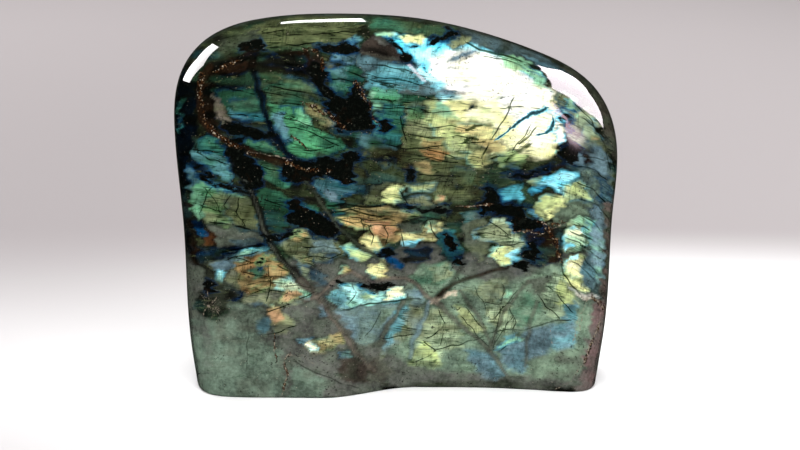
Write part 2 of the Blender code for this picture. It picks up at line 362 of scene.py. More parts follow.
# The sheets, from the lowest up: tone, the tone of its streaks, softness, outline.
SHEETS = [
    # the ground of each part of the face
    ("soot", "moss", 6, "150,0 640,0 640,260 400,300 150,260"),
    ("matrix", "milk", 8, "150,250 260,255 290,300 290,420 150,420"),
    ("fog", "matrix", 8, "255,262 640,250 640,410 255,410"),
    ("milk", "matrix", 9, "200,345 245,335 282,350 284,396 215,400 196,375"),
    ("milk", "matrix", 6, "291,366 312,370 328,382 316,400 289,400"),
    ("matrix", "milk", 8, "212,298 262,305 268,335 240,345 208,335"),
    ("milk", "fog", 8, "182,312 204,308 211,340 210,370 200,382 186,360"),
    ("matrix", "fog", 6, "182,255 212,262 228,290 226,315 186,318 180,280"),
    ("sage", "milk", 9, "396,292 436,268 500,286 560,262 592,300 590,362 560,384 440,376 392,352"),
    ("fog", "matrix", 7, "372,366 440,370 520,376 590,380 590,400 372,400"),
    # along the top
    ("olive", "moss", 5, "222,44 258,24 300,16 358,17 358,34 340,47 273,47"),
    ("dusk", "moss", 6, "216,50 228,36 262,28 260,40 236,50 222,60"),
    ("jade", "olive", 4, "290,48 305,45 318,50 308,56 292,55"),
    ("moss", "jade", 5, "372,17 400,19 456,28 452,36 410,37 375,34"),
    ("slate", "dusk", 5, "456,26 500,38 540,54 566,70 552,71 520,60 470,44"),
    ("slate", "steel", 4, "520,54 548,64 573,76 560,73 530,62"),
    ("dusk", "taupe", 4, "562,66 582,72 602,92 620,122 622,166 611,150 604,128 592,104 576,84"),
    # the rusty band at the top left, and the column that it turns down into
    ("black", "umber", 4, "206,66 229,55 252,50 275,55 302,50 319,50 326,66 316,80 300,73 281,71"
                          " 262,66 252,75 236,78 224,90 214,92 213,112 219,128 206,132 199,112"
                          " 199,80"),
    ("umber", "black", 3, "216,70 232,63 248,60 250,66 232,72 222,78"),
    ("umber", "soot", 3, "199,74 208,66 210,82 204,88"),
    ("umber", "soot", 3, "310,52 320,52 326,66 320,74 311,66"),
    ("soot", "black", 4, "256,57 284,54 304,57 306,68 286,70 262,65"),
    # green sheets of the top left
    ("soot", "black", 4, "212,76 252,70 256,84 236,88 216,90"),
    ("pine", "jade", 4, "214,90 256,88 263,110 262,116 229,116 216,100"),
    ("jade", "dusk", 4, "224,99 259,98 263,112 236,113"),
    ("teal", "steel", 3, "226,109 246,114 264,113 267,121 248,122 232,117"),
    ("drab", "olive", 3, "211,94 217,98 222,108 230,124 222,125 214,112"),
    ("jade", "olive", 4, "262,76 300,76 312,84 322,98 326,112 304,108 268,104"),
    ("moss", "pine", 3, "258,72 276,73 284,82 262,88"),
    ("jade", "olive", 3, "266,88 300,92 324,104 318,112 290,110 268,103"),
    ("sea", "jade", 4, "268,104 290,106 303,108 309,118 316,130 330,137 344,147 339,153 330,155"
                       " 322,151 311,157 297,158 289,150 281,138 272,126"),
    ("sea", "mint", 3, "288,107 300,108 308,114 314,126 306,126 292,117"),
    ("jade", "pine", 4, "328,136 342,146 338,152 326,150 320,142"),
    ("steel", "sky", 3, "271,112 283,112 285,130 290,142 281,140 273,128"),
    ("moss", "sand", 2.5, "301,103 309,101 320,108 334,121 342,130 328,125 314,116 304,110"),
    # blue sheets of the top middle
    ("olive", "matrix", 3, "324,62 333,62 338,72 328,74"),
    ("jade", "steel", 3, "322,70 342,66 356,62 360,78 352,88 346,94 334,92"),
    ("pine", "teal", 3, "346,68 358,64 361,80 352,88 344,84"),
    ("steel", "slate", 3, "338,48 358,46 362,60 350,64 334,60"),
    ("taupe", "black", 3, "362,42 376,35 390,37 400,50 410,60 406,66 388,63 370,58 360,54"),
    ("ash", "taupe", 3, "362,52 376,54 392,57 402,62 390,63 372,59"),
    ("fog", "taupe", 2.5, "374,38 384,38 388,44 378,45"),
    ("sky", "steel", 2.5, "334,46 344,41 356,35 360,38 350,44 340,48"),
    ("slate", "steel", 3, "358,54 384,61 400,63 400,92 372,92 364,82 359,66"),
    ("mint", "jade", 3, "368,92 400,90 402,118 384,120 372,108"),
    ("steel", "slate", 3, "378,62 410,64 424,76 436,82 437,93 414,98 378,96"),
    ("fog", "steel", 3, "396,90 420,84 436,86 436,96 408,98"),
    ("sky", "azure", 3, "364,72 388,66 412,68 424,78 418,88 398,92 368,90"),
    ("sea", "steel", 3, "376,112 400,106 404,122 402,140 384,150 372,130"),
    ("sea", "steel", 3, "372,88 396,89 400,96 398,104 374,102"),
    ("pine", "jade", 3, "402,95 412,95 438,98 434,104 404,106 400,104"),
    ("jade", "teal", 4, "382,104 402,104 404,140 386,150 376,142"),
    ("pine", "steel", 3, "348,132 368,132 398,148 396,154 360,150"),
    # the great flash: its sheen is painted into the base colour, brightest and white in its middle
    ("khaki", "lime", 4, "404,104 436,99 470,102 500,120 500,152 470,160 428,158 404,146"),
    ("lime", "khaki", 4, "424,102 462,103 500,112 520,140 510,164 486,160 450,148 430,128"),
    ("lime", "straw", 5, "434,116 460,118 462,134 440,136"),
    ("mint", "lime", 5, "434,101 462,102 478,108 470,118 446,120 432,112"),
    ("cyan", "sky", 4, "384,36 404,34 430,40 450,40 470,44 520,62 440,96 434,82 424,74 412,60"
                       " 402,52 392,42"),
    ("straw", "lime", 2.5, "402,36 424,35 434,40 424,45 404,44"),
    ("mint", "straw", 2.5, "378,33 396,31 402,35 392,36 380,36"),
    ("ice", "cyan", 6, "404,44 424,46 432,52 450,46 476,46 500,56 480,64 440,72 446,92 480,98"
                       " 480,103 440,100 434,88 420,74 414,58"),
    ("straw", "cream", 6, "440,100 500,96 552,90 562,108 566,128 562,140 555,149 547,158 539,160"
                          " 528,157 516,150 490,146 478,132 460,120"),
    ("leaf", "jade", 4, "405,105 423,105 425,120 406,121"),
    ("olive", "gold", 4, "424,138 444,139 448,152 428,152"),
    ("cream", "lime", 6, "466,108 492,108 496,122 484,130 468,124"),
    ("straw", "cream", 4, "478,137 500,138 508,150 492,152 480,148"),
    ("cream", "white", 8, "500,104 548,102 560,120 556,146 536,152 520,130"),
    ("white", "cream", 7, "428,60 450,51 473,50 496,56 519,64 536,72 544,83 553,93 554,100"
                          " 544,106 526,110 496,102 463,99 450,92 436,78"),
    ("mint", "lime", 4, "500,56 520,61 542,74 551,92 540,86 518,72 500,64"),
    ("leaf", "mint", 3, "502,54 522,59 541,70 546,80 530,73 510,61"),
    ("khaki", "olive", 3, "446,44 456,38 470,38 466,44 452,50"),
    ("haze", "fog", 2.5, "449,61 452,56 464,52 479,49 479,53 464,57 454,61"),
    ("haze", "fog", 2.5, "436,90 450,89 463,92 452,95 438,94"),
    ("pine", "dusk", 2, "462,111 467,106 474,103 472,108"),
    ("white", "cream", 3, "545,108 560,110 568,118 570,130 564,144 556,142 556,124"),
    ("peach", "straw", 3, "488,147 494,145 497,152 492,158 487,154"),
    ("olive", "moss", 4, "402,132 418,132 424,144 430,152 420,156 408,152"),
    ("lime", "leaf", 3, "498,156 514,151 528,154 522,166 502,168"),
    ("khaki", "lime", 4, "452,138 466,139 470,152 460,154"),
    ("leaf", "olive", 3, "512,162 524,158 530,162 518,168 508,167"),
    # the right shoulder
    ("pearl", "ash", 4, "556,96 575,104 596,124 606,150 596,160 578,150 566,130 558,112"),
    ("khaki", "olive", 3, "556,92 566,91 578,101 576,111 566,107 558,100"),
    ("mint", "sage", 2.5, "564,98 574,98 580,110 576,116 568,110"),
    ("pearl", "sand", 3, "577,108 585,109 602,126 596,128 582,119"),
    ("pearl", "sage", 3, "580,120 596,126 604,138 596,142 588,142 582,136"),
    ("tan", "khaki", 2.5, "590,135 599,136 601,141 592,142"),
    ("dusk", "olive", 4, "596,140 606,138 614,152 608,158 596,150"),
    ("slate", "milk", 5, "585,142 604,146 614,170 612,240 604,300 592,300 584,240 576,190 580,160"),
    ("haze", "slate", 4, "586,150 602,148 610,160 608,176 592,170"),
    ("sage", "slate", 4, "586,170 598,174 606,190 598,204 588,186"),
    ("steel", "slate", 4, "596,176 610,178 610,204 600,204"),
    ("haze", "slate", 3, "592,204 602,210 606,230 598,236 592,220"),
    # Its mauve streaks are painted reflection: the pinkish grey backdrop that the right edge mirrors.
    ("dusk", "mauve", 3, "604,206 618,190 612,260 608,300 600,300"),
    # the left side
    # Painted reflection: the black along the left rim is the dark studio that the rounded edge
    # mirrors.
    ("black", "ink", 4, "150,60 180,60 198,84 197,130 193,150 188,170 187,210 190,250 150,250"),
    ("pine", "teal", 3, "177,100 182,98 182,132 178,132"),
    ("pine", "teal", 4, "186,162 193,164 193,190 188,188"),
    ("soot", "umber", 4, "184,196 192,200 196,240 210,262 204,272 192,258"),
    ("jade", "teal", 3, "198,140 204,132 214,136 225,148 229,158 214,154 198,150"),
    ("sky", "jade", 3, "192,149 214,153 229,159 237,178 232,183 219,176 206,168 193,158"),
    ("steel", "sky", 3, "186,167 196,168 210,182 206,194 194,196 188,184"),
    ("sea", "mint", 4, "194,178 210,182 232,190 246,198 236,204 214,210 200,220 193,208"),
    ("leaf", "khaki", 4, "214,192 249,198 258,214 262,228 246,231 206,222 204,206"),
    ("olive", "dusk", 4, "226,196 250,200 259,218 262,232 240,230 222,216"),
    ("navy", "ink", 2.5, "194,219 205,221 204,229 194,229"),
    ("cobalt", "teal", 2.5, "194,228 204,229 203,237 196,238"),
    ("olive", "soot", 3, "197,238 204,240 210,246 204,250 198,249"),
    ("soot", "navy", 3, "199,252 214,247 236,250 234,258 214,262 203,264"),
    ("umber", "rust", 4, "203,234 210,229 222,238 218,245 206,244"),
    ("matrix", "fog", 3, "206,224 262,234 266,244 250,252 222,250 216,238"),
    ("slate", "moss", 3, "232,240 254,237 262,243 240,248"),
    ("soot", "ink", 3, "214,250 230,247 244,246 246,252 228,257 216,259"),
    ("navy", "ink", 2.5, "222,254 240,249 262,243 265,247 246,255 226,260"),
    ("jade", "leaf", 3, "246,141 257,137 270,139 278,148 281,155 264,152 249,148"),
    ("jade", "moss", 3, "252,158 273,160 285,165 288,176 290,186 284,188 272,183 260,175 254,166"),
    ("jade", "pine", 3, "324,200 334,202 342,212 336,216 326,210"),
    ("pine", "jade", 3, "257,186 273,189 287,199 303,202 319,209 318,216 300,214 290,210 288,222"
                        " 276,222 264,214 258,200"),
    ("soot", "pine", 3, "262,208 276,210 290,220 286,232 268,230"),
    # the middle
    ("moss", "umber", 5, "344,150 372,146 404,150 450,160 486,164 482,196 440,200 400,190 362,188"
                         " 346,176"),
    ("olive", "dusk", 5, "410,156 480,160 488,176 470,200 440,204 420,176"),
    ("olive", "umber", 2.5, "356,152 366,150 370,155 360,159"),
    ("moss", "soot", 3, "360,160 394,156 400,170 392,184 366,184"),
    ("olive", "taupe", 2.5, "378,160 388,158 394,166 384,169"),
    ("amber", "sand", 3, "422,151 436,147 448,153 440,160 428,159"),
    ("sand", "olive", 3, "416,164 429,162 435,173 424,178"),
    ("lime", "sand", 4, "468,151 486,150 494,160 482,170 466,164"),
    ("straw", "gold", 4, "452,124 474,122 490,124 502,140 508,152 494,154 482,147 472,136 456,134"),
    ("moss", "olive", 4, "450,166 472,168 476,184 456,188"),
    ("teal", "steel", 3, "314,179 331,177 346,182 364,186 364,192 346,194 340,203 328,203 318,193"
                         " 310,186"),
    ("haze", "slate", 3, "322,190 336,192 338,201 328,202"),
    ("olive", "dusk", 3, "364,190 380,184 398,184 402,200 392,205 366,203"),
    ("lime", "straw", 3, "379,194 390,186 401,186 404,200 384,204"),
    ("khaki", "lime", 3, "406,184 436,181 438,190 424,193 408,194"),
    ("peach", "khaki", 3, "434,192 444,194 446,202 436,201"),
    ("khaki", "matrix", 3, "402,199 430,195 434,206 416,209 404,207"),
    ("dusk", "jade", 3, "400,207 446,203 450,216 424,219 400,215"),
    ("sand", "khaki", 2.5, "334,210 360,207 400,209 428,214 400,219 350,214"),
    ("gold", "umber", 3, "334,216 361,212 400,214 404,236 396,242 388,246 378,252 367,249 359,242"
                         " 366,234 372,229 354,229 342,223"),
    ("peach", "amber", 3, "366,220 392,222 397,234 388,242 374,236"),
    ("straw", "gold", 2.5, "359,241 368,235 378,238 382,248 376,252 366,249"),
    ("straw", "sand", 3, "399,233 420,230 429,222 441,221 450,230 444,237 432,241 412,242 401,244"),
    ("peach", "straw", 2.5, "427,222 434,221 436,230 430,234"),
    ("matrix", "dusk", 3, "398,224 424,223 424,230 400,232"),
    ("ice", "haze", 2.5, "401,242 414,240 422,240 410,246 402,248"),
    ("fog", "dusk", 4, "396,247 444,243 452,256 440,266 410,266 392,256"),
    ("cobalt", "navy", 2.5, "386,258 394,255 404,262 402,269 388,264"),
    ("soot", "navy", 3, "402,250 414,247 427,246 432,256 424,264 406,263"),
    ("soot", "teal", 3, "441,226 454,230 464,250 460,266 444,262 438,246"),
    ("matrix", "olive", 4, "466,214 484,216 492,250 478,262 468,248 462,232"),
    ("teal", "matrix", 3, "464,214 486,207 490,213 474,220 464,224"),
    ("pearl", "khaki", 3, "472,233 492,219 504,217 512,224 512,235 528,240 524,248 519,252"
                          " 514,263 504,266 497,262 500,250 495,243 479,241"),
    ("sky", "haze", 2.5, "472,236 477,234 480,238 474,240"),
    ("lime", "straw", 2.5, "490,250 506,246 520,249 518,260 506,266 493,263"),
    ("ice", "cyan", 2.5, "508,250 518,249 527,254 520,259 510,260"),
    # the right of the middle
    ("soot", "umber", 4, "480,170 510,172 540,172 560,162 590,150 590,164 560,176 536,184 500,190"
                         " 482,182"),
    ("slate", "haze", 3, "570,150 580,150 582,158 586,168 574,164 564,161"),
    ("azure", "teal", 3, "498,192 508,187 520,183 524,189 521,196 520,202 508,201 501,203 497,198"),
    ("cyan", "ice", 3, "533,187 539,179 554,171 564,169 577,174 574,184 571,192 565,197 557,190"
                       " 549,185 539,188"),
    ("cobalt", "cyan", 2.5, "531,189 540,184 549,187 540,191 533,194"),
    ("straw", "mint", 2.5, "564,184 573,182 574,192 569,203 563,204 562,196"),
    ("straw", "leaf", 2.5, "528,182 536,178 541,178 536,184 530,187"),
    ("lime", "khaki", 3, "535,203 540,198 549,193 560,198 563,204 554,215 544,222 538,219 534,214"),
    ("cobalt", "sky", 2.5, "528,209 535,208 537,216 532,217"),
    ("lime", "straw", 2.5, "556,200 564,196 566,202 556,214 546,221 545,216"),
    ("dusk", "sage", 4, "560,208 576,198 590,204 588,214 578,219 562,227 548,226"),
    ("lime", "sage", 4, "568,188 578,178 590,190 592,202 578,202 568,204"),
    ("soot", "umber", 4, "526,232 548,226 562,230 560,250 566,264 540,268 524,262 518,254 528,246"),
    ("khaki", "mint", 3, "563,233 568,222 578,215 589,221 595,235 592,245 581,249 572,253 563,254"
                         " 562,244"),
    ("cream", "mint", 3, "562,236 568,228 578,226 587,236 580,247 565,251"),
    ("mint", "haze", 3, "584,217 592,220 597,238 590,246 586,232"),
    ("ice", "cyan", 2, "563,248 570,243 574,245 566,252"),
    ("lime", "straw", 3, "563,264 568,257 581,254 588,260 594,274 590,292 576,294 566,282"),
    ("haze", "mint", 4, "590,226 600,226 604,250 602,278 594,286 591,256"),
    ("straw", "cream", 3, "566,262 574,257 584,262 584,276 576,280 568,272"),
    ("ice", "mint", 2, "568,258 579,254 580,258 570,262"),
    # the gold sheets of the lower left
    ("khaki", "fog", 3, "228,257 258,248 273,252 280,261 287,270 302,281 311,295 302,303 287,307"
                        " 273,311 262,303 249,307 242,301 238,289 226,278 212,276 210,266"),
    ("sand", "amber", 3, "236,262 262,250 276,258 292,272 288,284 266,290 248,296 240,284"),
    ("sand", "amber", 3, "240,276 264,264 276,266 270,280 250,292"),
    ("mint", "haze", 3, "230,259 237,253 250,249 266,247 266,251 252,256 240,262"),
    ("haze", "slate", 3, "213,265 226,260 238,258 236,267 226,271 214,271"),
    ("ice", "mint", 3, "213,270 221,270 227,276 223,283 216,280"),
    ("jade", "dusk", 3, "248,270 262,264 266,272 252,280"),
    ("mint", "cream", 3, "272,280 290,278 300,286 311,292 308,299 290,293 276,290"),
    ("peach", "sand", 3, "284,290 298,290 300,298 288,304 278,304"),
    ("straw", "peach", 2.5, "264,308 274,304 278,310 272,316 266,314"),
    ("khaki", "ash", 3, "266,312 277,308 283,314 295,322 296,329 282,335 273,335 271,326"),
    ("peach", "sand", 3, "264,309 277,307 282,318 276,326 268,319"),
    ("steel", "slate", 5, "255,320 262,317 269,321 268,330 261,334 255,329"),
    ("navy", "ink", 2.5, "230,290 240,290 243,300 233,303"),
    ("soot", "black", 6, "197,296 210,285 222,292 224,308 216,320 204,318 196,308"),
    ("soot", "dusk", 8, "203,262 212,264 216,276 228,284 236,294 232,304 224,314 212,318 202,300"
                        " 201,276"),
    # gold between the two veins
    ("khaki", "olive", 3, "279,239 293,231 305,227 309,237 331,237 344,245 360,249 361,256"
                          " 346,252 337,259 311,261 311,274 300,267 288,256"),
    ("gold", "sand", 3, "288,237 298,228 307,232 306,238 294,242"),
    ("olive", "dusk", 3, "288,243 306,240 310,248 296,252"),
    ("sand", "khaki", 3, "300,252 312,256 312,268 304,266"),
    ("khaki", "milk", 3, "300,264 312,266 314,280 306,280"),
    ("milk", "haze", 3, "310,240 336,239 338,252 312,254"),
    ("lime", "mint", 2.5, "343,246 352,244 362,251 374,256 364,262 348,257"),
    ("khaki", "milk", 3, "312,252 336,254 336,263 314,263"),
    ("gold", "straw", 2.5, "339,272 344,265 352,266 350,273 342,275"),
    ("straw", "gold", 3, "370,266 378,263 388,266 386,278 374,281 368,274"),
    ("straw", "mint", 2.5, "380,258 386,258 386,268 380,272"),
    ("slate", "navy", 4, "312,268 325,275 327,285 318,286 313,280"),
    ("haze", "fog", 3, "317,304 323,303 328,316 322,318"),
    # the mint sheet and the blue one under it
    ("mint", "ice", 3, "327,293 339,286 353,283 368,288 374,295 388,290 404,285 400,301 384,304"
                       " 361,306 343,311 336,307 330,300"),
    ("sky", "haze", 3, "327,293 338,288 346,292 346,308 336,307"),
    ("straw", "mint", 3, "360,291 370,289 376,296 366,301"),
    ("cream", "straw", 2.5, "384,299 389,289 403,285 407,291 403,298 392,299"),
    ("haze", "milk", 5, "334,309 361,307 398,303 399,311 387,325 375,343 366,346 355,342 348,330"
                        " 340,319"),
    ("sage", "haze", 5, "362,308 396,304 392,314 378,328 366,326"),
    ("sand", "khaki", 4, "300,344 314,341 330,336 342,333 344,340 332,348 320,354 308,353"),
    ("cream", "peach", 3, "300,343 308,340 316,344 316,352 308,352"),
    ("steel", "haze", 2.5, "299,341 305,337 313,338 308,342 301,346"),
    ("teal", "milk", 3, "336,351 350,351 352,357 338,358"),
    ("taupe", "dusk", 5, "340,360 358,356 370,364 372,382 350,384 338,374"),
    ("ash", "taupe", 8, "366,360 384,356 392,372 386,384 370,382"),
    # the lower middle and right
    ("sage", "jade", 5, "409,278 418,268 428,265 446,262 456,272 446,282 440,292 428,294 419,286"),
    ("khaki", "sage", 5, "430,268 446,264 452,276 434,284"),
    ("haze", "sage", 4, "406,292 417,287 426,295 421,302 412,305"),
    ("bone", "drab", 1.2, "424,303 434,298 444,294 456,289 457,293 446,298 438,303 430,305"),
    ("khaki", "haze", 6, "406,303 426,306 420,324 410,338 396,344 384,358 388,330 399,312"),
    ("sky", "haze", 6, "398,306 408,304 400,330 386,350 384,336"),
    ("pearl", "khaki", 6, "424,312 444,308 457,321 463,335 462,347 444,351 441,362 433,366"
                          " 414,364 409,356 419,337"),
    ("lime", "sage", 5, "412,352 424,340 436,354 442,362 434,368 414,366"),
    ("khaki", "lime", 5, "453,305 463,306 477,319 486,330 476,334 464,325"),
    ("sage", "khaki", 6, "462,290 476,286 484,281 505,279 507,290 498,302 492,306 482,301 472,296"),
    ("khaki", "milk", 5, "478,286 490,280 504,282 504,292 494,304 482,298"),
    ("mint", "sage", 4, "504,290 510,290 508,298 504,298"),
    ("pearl", "khaki", 6, "486,308 508,302 518,326 500,332 490,322"),
    ("matrix", "dusk", 5, "526,280 552,274 556,286 544,297 530,292"),
    ("sage", "jade", 6, "514,294 530,290 542,300 540,326 518,328 512,310"),
    ("pearl", "sage", 5, "543,298 547,286 556,271 566,276 576,290 578,301 577,316 563,322 552,317"
                         " 544,307"),
    ("lime", "khaki", 5, "562,280 571,286 577,296 576,308 562,310 556,296"),
    ("sky", "haze", 5, "562,308 572,300 578,306 576,320 568,326 562,318"),
    ("haze", "sky", 6, "548,326 574,320 578,340 572,352 556,350 548,340"),
    ("haze", "slate", 7, "522,330 548,326 554,346 544,362 524,362"),
    ("matrix", "sage", 6, "530,360 556,350 586,346 584,372 566,380 530,380"),
    ("haze", "steel", 7, "466,348 492,352 506,372 500,380 484,376 472,364"),
    ("haze", "steel", 6, "498,346 511,337 526,342 528,362 520,374 506,368"),
    ("mint", "sage", 4, "496,350 503,338 517,334 520,341 506,348"),
    # Painted shade: a black line along the foot's edge, where the stone curves under onto the floor,
    ("black", "soot", 2, "384,388 440,385.5 520,386.5 556,388 592,389 592,402 384,402"),
    # and above it a dusk band, darker towards the bottom.
    ("dusk", "fog", 5, "400,384 470,380 520,380 550,386 550,400 400,400"),
    ("slate", "steel", 4, "580,262 590,258 598,276 594,290 584,286"),
    ("bone", "haze", 2, "572,286 582,293 596,296 596,299 584,298 574,291"),
    # Painted reflection: the mauve along the lower right edge is the pinkish grey backdrop that the
    # right side mirrors.
    ("mauve", "fog", 5, "593,304 625,290 620,350 600,400 574,396 585,372 585,356 591,329"),
]

# Inclusions: their edges are ragged and crisp, with a thin blue fringe where they cross a flash.
INCLUSIONS = [
    "234,46 242,42 252,41 262,37 268,46 272,54 256,52 240,54",
    ("305,70 312,60 322,64 325,76 331,87 337,95 350,96 353,87 359,81 363,88 368,101 373,112"
     " 378,130 352,134 336,131 332,117 325,103 317,90 311,80"),
    "318,44 336,44 350,40 360,42 359,53 346,56 328,55 319,51",
    "388,33 394,38 400,48 409,55 416,62 410,66 402,62 394,52 386,42",
    "418,47 424,42 434,36 442,34 446,27 456,30 458,36 446,41 436,44 426,48",
    "420,64 426,68 430,75 424,72",
    "404,46 414,44 422,48 412,49",
    "380,119 390,120 394,128 388,133 378,131",
    "216,118 228,120 240,122 264,129 274,133 280,141 264,140 246,138 226,134",
    "204,280 214,282 216,292 208,296 202,290",
    "224,138 240,136 247,149 257,164 264,179 259,191 249,193 236,176 227,157",
    "186,157 200,164 214,178 233,186 250,191 252,196 232,192 210,184 196,170 186,163",
    ("284,164 296,158 311,161 323,155 339,160 352,148 366,150 358,165 356,182 343,185 331,177"
     " 317,176 311,185 300,184 287,182 278,172"),
    "282,200 300,200 318,212 339,222 338,238 318,236 300,228 286,222 288,208",
    "404,171 412,167 418,171 417,180 408,182",
    "262,232 280,234 296,228 300,234 284,240 266,243",
    "400,205 424,208 445,203 447,212 424,214 402,211",
    ("482,186 494,186 498,200 508,204 528,206 529,214 538,221 545,229 531,233 512,232 511,222"
     " 493,215 482,219 478,206"),
    "528,236 540,240 542,256 530,262 522,256 530,246",
    "560,146 570,142 582,150 578,160 568,166 560,164",
    "558,108 570,112 578,122 570,124 561,116",
    "560,110 566,118 572,132 562,128",
    "504,172 520,173 540,168 552,164 548,172 524,180 504,178",
    "442,230 450,230 458,244 460,256 450,254 444,244",
    "452,262 462,258 472,260 464,266 452,267",
    "510,264 521,258 531,261 531,270 524,277 516,273",
    "258,266 264,256 269,255 266,262 260,270",
    "374,252 388,246 398,252 388,260 376,258",
    ("332,284 343,280 356,281 366,286 376,288 390,286 390,290 376,293 364,290 354,285 343,285"
     " 334,289"),
    "366,279 380,283 396,282 394,288 380,292 368,289",
]

# Veins: half their width, tone, strength, route.
VEINS = [
    (3.2, "umber", 0.8, "210,66 201,80 199,100 202,118 210,131 233,145 262,157 299,169 334,172"),
    (3.4, "navy", 0.55, "256,76 258,91 264,109 271,128 279,141 287,152 294,161"),
    (1.3, "black", 0.95, "254,72 258,91 264,109 271,128 279,141 287,152 294,161 303,174"),
    (1.7, "dusk", 0.8, "303,174 311,187 321,204 331,217 339,229 349,237 360,246 375,256 388,265"),
    (3.0, "soot", 0.8, "233,160 244,180 252,193 257,205 261,217 265,231 273,245 281,258 292,270"
                       " 302,281 311,290"),
    (0.8, "ash", 0.6, "244,178 252,193 257,205 260,217 264,231 272,245 280,258 291,270 302,281"),
    (2.8, "drab", 0.7, "302,281 311,289 318,298 326,306 332,318 343,331 350,342 356,352 365,361"
                       " 374,370"),
    (1.0, "ash", 0.5, "302,281 312,289 320,298 328,307 334,318 345,331 352,342 358,352 368,363"),
    (1.8, "drab", 0.7, "304,300 317,297 328,287 339,277 352,272 372,282"),
    (1.8, "drab", 0.75, "376,281 393,278 407,278 419,286 428,297 441,306"),
    (1.8, "ash", 0.8, "441,306 453,318 467,331 480,341 491,352 501,365 510,380"),
    (1.8, "haze", 0.6, "429,302 423,321 414,340 409,358"),
    (2.0, "ash", 0.8, "404,301 396,314 386,329 378,344"),
    (1.3, "ash", 0.7, "530,281 516,295 504,313 495,332 490,349"),
    (1.3, "ash", 0.7, "461,290 469,303 479,319 485,331 492,349"),
    (1.6, "ash", 0.6, "537,302 531,321 527,340 525,366"),
    (1.2, "dusk", 0.6, "466,262 452,282 440,296"),
    (1.5, "umber", 0.75, "436,297 446,289 456,283 470,278 481,275 494,270 508,267"),
]

